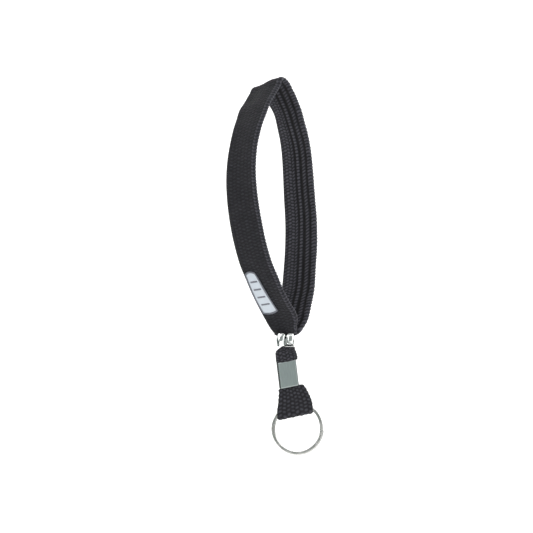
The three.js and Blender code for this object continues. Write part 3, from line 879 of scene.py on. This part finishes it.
class LANYARD_OT_wrist_strap(bpy.types.Operator):
    """Rolls the flat tubular braid of the wrist loop along its route, with every stitch raised"""

    bl_idname = "lanyard.wrist_strap"
    bl_label = "Wrist strap"

    def execute(self, context):
        settings = context.scene.lanyard_strap
        INTO_CRIMP, OUTER_PAINTED_SHADING, INNER_PAINTED_SHADING, REAR_EDGE_PAINTED_SHADE = 0.0034, 0.68, 0.98, 0.2
        frames, length = wrist_frames(settings.rows, INTO_CRIMP)
        width, thickness, gather = strap_sizes(settings, frames, length)
        outline = rounded_outline(
            settings.width, settings.thickness, settings.thickness / 2 - TINY, 3, 43, 0)
        across = outline.x * settings.width + settings.width / 2
        at_front_edge = across > settings.width - settings.thickness / 2
        on_edge = np.abs(outline.normal_x) > TINY

        def heights(i, j):
            face, beads = strap_heights(
                across[i], frames.distance[j], outline.normal_y[i], settings.row_pitch)
            edge = np.where(at_front_edge[i], 1.15 * beads, 0.1)
            return mixed(face, edge, np.clip(np.abs(outline.normal_x[i]) * 1.6, 0, 1))

        def relief(i, j):
            return heights(i, j) * settings.stitch_height * (1 - 0.35 * gather[j])

        # Painted light and shade: stitch heights become painted shade in the grooves and a painted
        # highlight on the crowns. The outer face is painted darker and the inner face lighter to even
        # out the light on them, and the rear edge gets more painted shade.
        def shade(i, j):
            rear_edge = on_edge[i] & (across[i] < settings.width / 2)
            gain = np.where(outline.normal_y[i] < 0, OUTER_PAINTED_SHADING, INNER_PAINTED_SHADING)
            return np.clip(heights(i, j) * gain - np.where(rear_edge, REAR_EDGE_PAINTED_SHADE, 0.0), 0, 1)

        def near(distance_past_top, reach):
            return np.exp(-((frames.distance - length / 2 - distance_past_top) / reach)**2)

        before_top, over_top, past_top = near(-0.016, 0.009), near(-0.001, 0.011), near(0.017, 0.010)

        def offset(i, j):
            """Small bends of the section: its curl, its droop over the top, its edges' own lines."""
            share = 2 * outline.x[i]
            rear, front = np.clip(-share, 0, 1), np.clip(share, 0, 1)
            curl = gather[j] * 0.0006 * np.cos(share * math.pi * 1.5)
            sag = 0.00012 * np.sin(frames.distance[j] * 90 + share * 3.5)
            swing = mixed(-0.55, 1, smoothstep(-0.6, 0.6, share))
            droop = 0.0014 * over_top[j] * (share**2 - 0.3) * swing
            rolled_in = 0.0020 * past_top[j] * rear**2
            spread = -0.0012 * before_top[j] * rear
            fuller = 0.0004 * front * (1 - gather[j])
            return rolled_in + spread + fuller, curl + sag + droop

        strap = sweep("wrist_strap", outline, frames, width, thickness, relief, shade, offset)
        self.tuck(strap)
        strap.data.materials.append(braid_material(settings))
        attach(strap, "wrist_loop")
        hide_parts("wrist_braid")
        return {"FINISHED"}

    def tuck(self, strap):
        """Draws both ends together where they go down into the crimp."""
        MOUTH_DROP, TUCK, NARROW, FLATTER = 0.0005, 0.0014, 0.42, 0.62
        low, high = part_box("neck_crimp")
        middle = (low + high) / 2
        for vert in strap.data.vertices:
            drop = high.z - vert.co.z
            if drop > -TUCK:
                narrow = mixed(1, NARROW, float(smoothstep(MOUTH_DROP, MOUTH_DROP + TUCK, drop)))
                flatter = mixed(1, FLATTER, float(smoothstep(-TUCK / 2, TUCK / 2, drop)))
                vert.co.x = middle.x + (vert.co.x - middle.x) * narrow
                vert.co.y = middle.y + (vert.co.y - middle.y) * flatter


LABEL_WIDTH, LABEL_LENGTH = 0.0076, 0.023


def label_place(settings, share_across, share_along, lift):
    """A point above the outer face of the front arm, for shares of the label from -0.5 to 0.5."""
    START, LOW_WIDTH, HIGH_WIDTH, EDGE_INSET, ROWS = 0.0115, 0.0092, 0.0060, 0.0013, 1200
    frames, _ = wrist_frames(ROWS, 0.0)
    distance = START + (share_along + 0.5) * LABEL_LENGTH
    width = mixed(LOW_WIDTH, HIGH_WIDTH, share_along + 0.5)
    across = -settings.width / 2 + EDGE_INSET + width / 2 + share_across * width
    row = {key: resampled(frames.distance, getattr(frames, key), distance)
           for key in ("centre", "across", "out")}
    height = -(settings.thickness / 2 + lift)
    return row["centre"] + row["across"] * across[:, None] + row["out"] * height[:, None]


def round_cornered(x, y, amount=0.16):
    """Draws in the corners of a square patch that runs from -0.5 to 0.5 both ways."""
    return x * np.sqrt(1 - amount * (2 * y)**2), y * np.sqrt(1 - amount * (2 * x)**2)


class LANYARD_OT_label(bpy.types.Operator):
    """Lays the plain woven label on the strap's outer face and stitches its border"""

    bl_idname = "lanyard.label"
    bl_label = "Label and its border"

    def execute(self, context):
        settings = context.scene.lanyard_strap
        self.patch(settings)
        self.border(settings)
        return {"FINISHED"}

    def patch(self, settings):
        TOP, THICKNESS = 0.00052, 0.0005
        bm = bmesh.new()
        bm.loops.layers.uv.new("UVMap")
        bmesh.ops.create_grid(bm, x_segments=28, y_segments=72, size=0.5, calc_uvs=True)
        flat = np.array([v.co[:2] for v in bm.verts])
        x, y = round_cornered(flat[:, 0], flat[:, 1])
        puff = 0.00012 * (1 - (2 * flat[:, 0])**4) * (1 - (2 * flat[:, 1])**4)
        for vert, place in zip(bm.verts, label_place(settings, x * 0.97, y * 0.98, TOP + puff)):
            vert.co = place
        layer = bm.loops.layers.uv.active
        for face in bm.faces:
            for loop in face.loops:
                across, along = loop[layer].uv
                loop[layer].uv = (across * LABEL_WIDTH, along * LABEL_LENGTH)
        bmesh.ops.recalc_face_normals(bm, faces=bm.faces)
        bmesh.ops.solidify(bm, geom=list(bm.faces), thickness=-THICKNESS)
        mesh = mesh_from(bm, "label_patch")
        label = finished("label_patch", mesh)
        mesh.materials.append(label_material(settings))
        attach(label, "wrist_loop")
        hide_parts("wrist_label")

    def border(self, settings):
        """Short satin stitches side by side over the label's edge, and four plain bars across it."""
        HALF_LONG, HALF_WIDE, HALF_HIGH, ON_TOP = 0.00052, 0.00024, 0.00020, 0.00062
        END_STITCHES, SIDE_STITCHES, BAR_STITCHES = 20, 64, 15
        BARS, BAR_HALF = (-0.27, -0.09, 0.09, 0.27), 0.27
        ends = np.linspace(0, 1, END_STITCHES, endpoint=False)
        sides = np.linspace(0, 1, SIDE_STITCHES, endpoint=False)
        turn = np.concatenate([ends, 1 + sides, 2 + ends, 3 + sides])
        side, share = np.floor(turn), turn - np.floor(turn) - 0.5
        x = np.select([side == 0, side == 1, side == 2], [share, 0.5, -share], -0.5)
        y = np.select([side == 0, side == 1, side == 2], [-0.5, share, 0.5], -share)
        x, y = round_cornered(x, y)
        bar_x = np.tile(np.linspace(-BAR_HALF, BAR_HALF, BAR_STITCHES), len(BARS))
        bar_y = np.repeat(BARS, BAR_STITCHES)
        inner_x, inner_y = np.append(x * 0.9, bar_x), np.append(y * 0.96, bar_y + 0.02)
        x, y = np.append(x, bar_x), np.append(y, bar_y)
        middle, inner, above = (
            label_place(settings, across, along, np.full(len(x), ON_TOP + lift))
            for across, along, lift in ((x, y, 0), (inner_x, inner_y, 0.00002), (x, y, MM)))
        bm = bmesh.new()
        for k in range(len(x)):
            made = bmesh.ops.create_uvsphere(bm, u_segments=8, v_segments=6, radius=1.0)["verts"]
            inward = unit((inner[k] - middle[k])[None])[0]
            up = unit((above[k] - middle[k])[None])[0]
            run = unit(np.cross(up, inward)[None])[0]
            up = np.cross(inward, run)
            swell = 0.9 + 0.25 * float(scatter(k, 3))
            for vert in made:
                a, b, c = vert.co
                place = middle[k] + inward * (c * HALF_LONG) + run * (a * HALF_WIDE * swell)
                vert.co = place + up * ((b - 0.25 * c * c) * HALF_HIGH * swell)
        mesh = mesh_from(bm, "label_stitches")
        stitches = finished("label_stitches", mesh)
        mesh.materials.append(thread_material(settings))
        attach(stitches, "wrist_loop")
        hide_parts("label_border")


def sheet_path(pieces):
    """Points of a flat path: corners (x, y), and arcs (x, y, radius, from, to) in degrees."""
    points = []
    for piece in pieces:
        if len(piece) == 2:
            points.append(piece)
        else:
            x, y, radius, start, end = piece
            steps = max(4, int(abs(end - start) / 7))
            points += [(x + radius * math.cos(math.radians(a)), y + radius * math.sin(math.radians(a)))
                       for a in np.linspace(start, end, steps + 1)]
    return np.array(points)


def evenly_spaced(path, rows):
    """The distances and the places of evenly spaced points along a flat path."""
    steps = np.linalg.norm(np.diff(path, axis=0), axis=1)
    path = path[np.concatenate([[True], steps > TINY * MM])]
    distance = np.concatenate([[0], np.cumsum(steps[steps > TINY * MM])])
    wanted = np.linspace(0, distance[-1], rows)
    return wanted, resampled(distance, path, wanted)


def sheet_frames(path, rows, place):
    """Frames for a sheet stood on edge along a flat path; place turns (x, y, z) rows into points."""
    distance, flat = evenly_spaced(path, rows)
    tangent = unit(np.gradient(flat, axis=0))
    zeros = np.zeros(rows)
    centre = place(np.column_stack([flat, zeros]))
    origin = place(np.zeros((1, 3)))
    across = np.repeat(place(np.array([[0, 0, 1.0]])) - origin, rows, axis=0)
    out = place(np.column_stack([tangent[:, 1], -tangent[:, 0], zeros])) - origin
    return Frames(distance, centre, across, out), flat


class LANYARD_OT_crimp(bpy.types.Operator):
    """Rolls the crimp's sheet round the gathered strap, its two ends curled in at the front"""

    bl_idname = "lanyard.crimp"
    bl_label = "Crimp"

    def execute(self, context):
        settings = context.scene.lanyard_fittings
        low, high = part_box("neck_crimp")
        centre = np.array((low + high) / 2)
        SHEET, SLIT, CURL, ROWS = 0.00055, 0.00012, 0.0011, 150
        SKEW, FLATNESS, RAISED, NOTCH, FLARE, INSET = 0.12, 0.42, 0.0015, 0.0012, 0.00035, 0.0002
        half_w, half_d = (high.x - low.x) / 2, (high.y - low.y) / 2
        lobe = (2 * half_w - SLIT) / 4
        middle = lobe - SHEET / 2
        lobe_x, lobe_y, corner_y = half_w - lobe, lobe - half_d, half_d - lobe
        right = sheet_path([
            (lobe_x - middle, lobe_y + CURL), (lobe_x, lobe_y, middle, 180, 360),
            (lobe_x, corner_y, middle, 0, 90)])
        path = np.vstack([right, right[::-1] * (-1, 1)])
        frames, flat = sheet_frames(path, ROWS, lambda points: points + centre)
        height = settings.crimp_height
        # How near the front each row is, and on which side: the right lobe stops short below.
        front = smoothstep(0.0, -half_d, flat[:, 1])
        is_right = smoothstep(-0.0006, 0.0012, flat[:, 0])
        raised = RAISED * front * is_right
        from_slit = np.minimum(frames.distance, frames.distance[-1] - frames.distance)
        notch = NOTCH * (1 - smoothstep(0.0012, 0.0036, from_slit))
        width = height - raised - notch
        shift = (raised - notch) / 2
        lip = 1 - smoothstep(0.0, SHEET / 2, from_slit)
        thickness = SHEET * (1 - 0.75 * lip)
        outline = rounded_outline(height, SHEET, SHEET / 2 - TINY, 3, 26, 0)

        def offset(i, j):
            return shift[j], FLARE * np.abs(outline.x[i] * 2)**9 - INSET

        crimp = sweep("crimp_barrel", outline, frames, width, thickness, offset=offset)
        # It bulges at mid-height, its two rolls most of all, and these lie slantwise.
        for vert in crimp.data.vertices:
            place = np.array(vert.co) - centre
            level = 1 - min(1.0, (2 * place[2] / height)**2)
            depth = float(smoothstep(0.0, -half_d, place[1]))
            if place[1] < 0:
                place[1] = -half_d * (-place[1] / half_d)**FLATNESS
            place[0] = place[0] * (0.88 + 0.15 * level)
            place[1] = place[1] * (0.86 + 0.26 * level * depth)
            place[0] += SKEW * depth * (place[2] + 0.0008)
            vert.co = Vector(centre + place)
        crimp.data.materials.append(
            plated_material("Bright crimp", settings.chrome_color, 0.10, 0.8))
        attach(crimp, "wrist_loop")
        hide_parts("neck_crimp")
        return {"FINISHED"}


class LANYARD_OT_neck(bpy.types.Operator):
    """Swells the gathered braid between the crimp and the clamp"""

    bl_idname = "lanyard.neck"
    bl_label = "Neck braid"

    def execute(self, context):
        strap = context.scene.lanyard_strap
        fittings = context.scene.lanyard_fittings
        x, _, z, mouth = lower_frame()
        ABOVE, BELOW, ROWS, SLANT, ASIDE, LEAN = 0.0040, 0.0016, 90, 0.10, 0.00020, 0.0003
        POKE = np.array([0.0014, -0.0014, 0.0])
        distance = np.linspace(0, ABOVE + fittings.neck_length + BELOW, ROWS)
        drop = distance - ABOVE
        turned = smoothstep(-0.0005, 0.0025, drop)[:, None]
        down = unit(mixed(DOWN, -z, turned))
        centre = mouth + np.where(drop[:, None] < 0, DOWN, -z) * np.abs(drop)[:, None]
        poking = np.exp(-((drop + 0.0002) / 0.0012)**2)[:, None]
        leaning = np.exp(-((drop - 0.0020) / 0.0022)**2)[:, None]
        centre = centre + poking * POKE - leaning * x * LEAN
        across = unit(mixed(np.array([1.0, 0, 0]), x, turned))
        frames = Frames(distance, centre, across, np.cross(down, across))
        stops = np.array([-4.0, -2.2, -0.4, 0.5, 1.6, 3.0, 5.0, 6.5, 7.0, 7.6, 8.6]) * MM
        widths = np.array([5.6, 5.2, 5.2, 6.9, 8.8, 9.7, 9.9, 9.9, 9.5, 7.0, 6.8]) * MM
        depths = np.array([3.6, 3.7, 3.5, 3.6, 4.4, 4.9, 5.2, 5.2, 4.8, 3.2, 3.1]) * MM
        width, depth = np.interp(drop, stops, widths), np.interp(drop, stops, depths)
        WIDTH, DEPTH, CORNER, COLUMN, PITCH = 0.0095, 0.0050, 0.0021, 1.6, 1.4
        outline = rounded_outline(WIDTH, DEPTH, CORNER, 6, 16, 3)
        girth_mm = outline.girth_at / MM
        columns = round(outline.girth / MM / COLUMN)
        column = outline.girth / MM / columns

        def heights(i, j):
            v = distance[j] / MM
            v = v + 0.25 * np.sin(v * 1.1 + girth_mm[i] * 0.4)
            return stitch_columns(girth_mm[i], v, 0.0, column, columns, PITCH, 0.2)

        def relief(i, j):
            lumps = 0.0002 * np.sin(girth_mm[i] * 0.9 + 1) * np.sin(distance[j] / MM * 0.8)
            return heights(i, j) * 0.8 * strap.stitch_height + lumps

        # Painted shade in the grooves and a painted highlight on the stitch crowns, toned down on the
        # neck.
        def shade(i, j):
            return 0.75 * heights(i, j)

        neck = sweep("neck_braid", outline, frames, width, depth, relief, shade)
        # Its lower edge slants with the clamp's mouth.
        for vert in neck.data.vertices:
            place = Vector(vert.co) - Vector(mouth)
            side = place.dot(Vector(x))
            low_down = float(smoothstep(0.001, fittings.neck_length, -place.dot(Vector(z))))
            vert.co += Vector(z) * (SLANT * side * low_down) + Vector(x) * (ASIDE * low_down)
        neck.data.materials.append(braid_material(strap))
        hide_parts("neck_leg_front", "neck_leg_back")
        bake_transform(neck)
        return {"FINISHED"}


class LANYARD_OT_clamp(bpy.types.Operator):
    """Folds the clamp's sheet into a flat sleeve with its seam at the rear"""

    bl_idname = "lanyard.clamp"
    bl_label = "Clamp"

    def execute(self, context):
        settings = context.scene.lanyard_fittings
        x, y, z, mouth = lower_frame()
        SHEET, SEAM, CORNER, ASIDE, ROWS = 0.00055, 0.0004, 0.00072, 0.00015, 260
        HIGHLIT_RIM, HIGHLIT_CORNER, PINCH = 0.0006, 0.0007, 0.00012
        half_w, half_d = (settings.clamp_width - SHEET) / 2, (settings.clamp_depth - SHEET) / 2
        bend = CORNER - SHEET / 2
        centre = mouth - z * (settings.neck_length + settings.clamp_length / 2) - x * ASIDE
        inner_w, inner_d = half_w - bend, half_d - bend
        path = sheet_path([
            (SEAM / 2, half_d), (inner_w, inner_d, bend, 90, 0), (inner_w, -inner_d, bend, 0, -90),
            (-inner_w, -inner_d, bend, -90, -180), (-inner_w, inner_d, bend, 180, 90),
            (-SEAM / 2, half_d)])
        # The ends slant, and the sides lean a little the other way.
        basis = np.stack([x + 0.10 * z, y, z - 0.03 * x])
        frames, flat = sheet_frames(path[::-1], ROWS, lambda points: points @ basis + centre)
        outline = rounded_outline(settings.clamp_length, SHEET, 0.00014, 3, 24, 2)
        width = np.full(ROWS, settings.clamp_length)
        thickness = np.full(ROWS, SHEET)
        outside = outline.normal_y > 0.3
        rim = np.abs(outline.x) * settings.clamp_length > settings.clamp_length / 2 - HIGHLIT_RIM
        corner = smoothstep(half_w - HIGHLIT_CORNER, half_w, np.abs(flat[:, 0]))
        shaded_side = smoothstep(half_w - 0.0003, half_w - 0.0001, np.abs(flat[:, 0]))

        def offset(i, j):
            share = outline.x[i] * 2
            pinch = -PINCH * (1 - np.abs(share)**3) * np.clip(1 - (flat[j, 0] / half_w)**2, 0, 1)
            return np.zeros(len(i)), np.where(flat[j, 1] < 0, pinch, 0.0)

        # Painted shade on the sides, and a painted highlight on the rims and outer corners, partly as
        # rubbed wear.
        def shade(i, j):
            rubbed_and_highlit = np.clip(0.8 * rim[i] + 0.6 * corner[j] * outside[i], 0, 1) * (1 - shaded_side[j])
            return 0.5 + 0.5 * rubbed_and_highlit - 0.5 * shaded_side[j]

        clamp = sweep("clamp_sheet", outline, frames, width, thickness, None, shade, offset)
        clamp.data.materials.append(clamp_material(settings))
        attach(clamp, "clamp")
        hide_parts("clamp_sleeve")
        tail = frame["nodes"]["ring_loop_tail"]
        tail.data.materials.clear()
        tail.data.materials.append(braid_material(context.scene.lanyard_strap))
        return {"FINISHED"}


class LANYARD_OT_ring_loop(bpy.types.Operator):
    """Folds the braid round the ring, spread to its full width at the fold"""

    bl_idname = "lanyard.ring_loop"
    bl_label = "Ring loop"

    def execute(self, context):
        strap = context.scene.lanyard_strap
        settings = context.scene.lanyard_fittings
        x, y, z, hinge = loop_frame()
        HALF_COILS, CLEARANCE, BRAID, ROWS, SMOOTHING = 0.0010, 0.0003, 0.0014, 180, 14
        HINGE_DROP, LENGTH = 0.00233, 0.0146
        channel = HALF_COILS + CLEARANCE
        middle = channel + BRAID / 2
        fold = LENGTH - channel - BRAID - HINGE_DROP
        ring_top = float(np.dot(hinge - joint_place("ring_spin"), z)) - settings.ring_diameter / 2
        rear_side = [
            (0.00085, HINGE_DROP + 0.0012), (0.00090, HINGE_DROP - 0.0002), (0.00125, 0.0008),
            (middle, 0.0012 - ring_top), (middle, -fold * 0.7)]
        front_side = [(-out_by, up) for out_by, up in rear_side]
        side = sheet_path(front_side + [(0, -fold, middle, 180, 360)] + rear_side[::-1])
        distance, flat = evenly_spaced(side, ROWS)
        for _ in range(SMOOTHING):
            flat[1:-1] = 0.5 * flat[1:-1] + 0.25 * (flat[:-2] + flat[2:])
        tangent = unit(np.gradient(flat, axis=0))
        centre = hinge + flat[:, :1] * y + flat[:, 1:] * z
        across = np.repeat(x[None], ROWS, axis=0)
        frames = Frames(distance, centre, across, tangent[:, :1] * z - tangent[:, 1:] * y)
        depth = HINGE_DROP - flat[:, 1]
        IN_CLAMP, SPREAD, FLARE, SMILE = 0.0064, 0.0009, 0.0095, 0.0009
        flare = np.clip(depth / FLARE, 0, 1)**0.85
        full = mixed(settings.loop_top_width, settings.loop_low_width, flare)
        out_of_clamp = smoothstep(-0.0004, SPREAD, depth)
        width = mixed(IN_CLAMP, full, out_of_clamp)
        thick = np.full(ROWS, strap.thickness)
        outline = rounded_outline(
            settings.loop_low_width, strap.thickness, strap.thickness / 2 - TINY, 3, 52, 0)
        COLUMNS, PITCH, RELIEF = 8, 1.8, 0.00036
        across_at = (outline.x + 0.5) * COLUMNS
        at_edge = np.clip(np.abs(outline.normal_x) * 1.6, 0, 1)

        def heights(i, j):
            v = distance[j] / MM
            face = stitch_columns(across_at[i], v, 0.0, 1.0, COLUMNS, PITCH, 0.1, 0.6)
            beads = stitch_columns(outline.normal_y[i] * 0.9, v, -1, 2, 1, PITCH + 0.05, 0)
            return mixed(face, beads, at_edge[i])

        def relief(i, j):
            return heights(i, j) * RELIEF

        # The rear layer stands a little to the right, and so does all of it below the clamp.
        rear = 0.0007 * smoothstep(0.0, middle, flat[:, 0]) * smoothstep(0.0, 0.003, depth)
        to_right = 0.0006 * (1 - smoothstep(0.006, 0.012, depth)) * out_of_clamp

        def offset(i, j):
            return rear[j] + to_right[j], np.zeros(len(i))

        # Painted shade in the grooves and a painted highlight on the stitch crowns, toned down on the
        # loop.
        def shade(i, j):
            return 0.7 * heights(i, j)

        loop = sweep("ring_loop_fold", outline, frames, width, thick, relief, shade, offset)
        for vert in loop.data.vertices:
            place = Vector(vert.co) - Vector(hinge)
            below = HINGE_DROP - place.dot(Vector(z))
            share = place.dot(Vector(x)) / (settings.loop_low_width / 2)
            fan = 1 - float(smoothstep(0.0, 0.008, below))
            vert.co += Vector(z) * (SMILE * share * share * fan)
        loop.data.materials.append(braid_material(strap))
        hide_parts("ring_loop_braid")
        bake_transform(loop)
        return {"FINISHED"}


class LANYARD_OT_split_ring(bpy.types.Operator):
    """Coils the flat wire of the split ring through two turns"""

    bl_idname = "lanyard.split_ring"
    bl_label = "Split ring"

    def execute(self, context):
        settings = context.scene.lanyard_fittings
        x, y, z, _ = loop_frame()
        COIL, GAP, TIP, ROWS = 0.00095, 0.0001, 0.0004, 420
        RAMP, START, TURNED = math.radians(24), math.radians(33), math.radians(20)
        SPRUNG, SAG, ASIDE = (0.00022, 0.00016), 0.0007, 0.0002
        turn = np.linspace(START, 2 * math.tau - START, ROWS)
        lean = mixed(-1.0, 1.0, smoothstep(math.tau - RAMP, math.tau + RAMP, turn))[:, None]
        radius = (settings.ring_diameter - settings.ring_band) / 2
        ray = np.cos(turn + TURNED)[:, None] * x + np.sin(turn + TURNED)[:, None] * z
        centre = joint_place("ring_spin") - z * SAG - x * ASIDE
        sprung = SPRUNG[0] * x - SPRUNG[1] * z + (COIL + GAP) / 2 * y
        middle = centre + ray * radius + lean * sprung
        frames = Frames(radius * (turn - START), middle, ray, np.repeat(y[None], ROWS, axis=0))
        outline = rounded_outline(settings.ring_band, COIL, 0.00026, 4, 4, 2)
        from_end = np.minimum(turn - START, 2 * math.tau - START - turn) * radius
        tip = np.sqrt(np.clip(1 - (1 - np.clip(from_end / TIP, 0, 1))**2, 0.12, 1))
        ring = sweep(
            "split_ring_coil", outline, frames, settings.ring_band * tip, COIL * mixed(0.8, 1, tip))
        ring.data.materials.append(plated_material("Nickel ring", settings.steel_color, 0.2, 1.2))
        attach(ring, "key_ring")
        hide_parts("split_ring")
        return {"FINISHED"}


class LANYARD_PT_panel(bpy.types.Panel):
    """Buttons for every piece of the lanyard"""

    bl_idname = "LANYARD_PT_panel"
    bl_label = "Wrist lanyard"
    bl_space_type = "VIEW_3D"
    bl_region_type = "UI"
    bl_category = "Lanyard"

    def draw(self, context):
        column = self.layout.column()
        for operator in OPERATORS:
            column.operator(operator.bl_idname)


OPERATORS = (
    LANYARD_OT_stage,
    LANYARD_OT_wrist_strap,
    LANYARD_OT_label,
    LANYARD_OT_crimp,
    LANYARD_OT_neck,
    LANYARD_OT_clamp,
    LANYARD_OT_ring_loop,
    LANYARD_OT_split_ring,
)
SETTINGS = {
    "lanyard_strap": StrapSettings,
    "lanyard_fittings": FittingSettings,
    "lanyard_stage": StageSettings,
}


def register():
    for name, group in SETTINGS.items():
        bpy.utils.register_class(group)
        setattr(bpy.types.Scene, name, PointerProperty(type=group))
    for operator in OPERATORS:
        bpy.utils.register_class(operator)
    bpy.utils.register_class(LANYARD_PT_panel)


def unregister():
    bpy.utils.unregister_class(LANYARD_PT_panel)
    for operator in reversed(OPERATORS):
        bpy.utils.unregister_class(operator)
    for name, group in SETTINGS.items():
        delattr(bpy.types.Scene, name)
        bpy.utils.unregister_class(group)


def main():
    register()
    bpy.ops.lanyard.stage()
    bpy.ops.lanyard.wrist_strap()
    bpy.ops.lanyard.label()
    bpy.ops.lanyard.crimp()
    bpy.ops.lanyard.neck()
    bpy.ops.lanyard.clamp()
    bpy.ops.lanyard.ring_loop()
    bpy.ops.lanyard.split_ring()


if __name__ == "__main__":
    main()
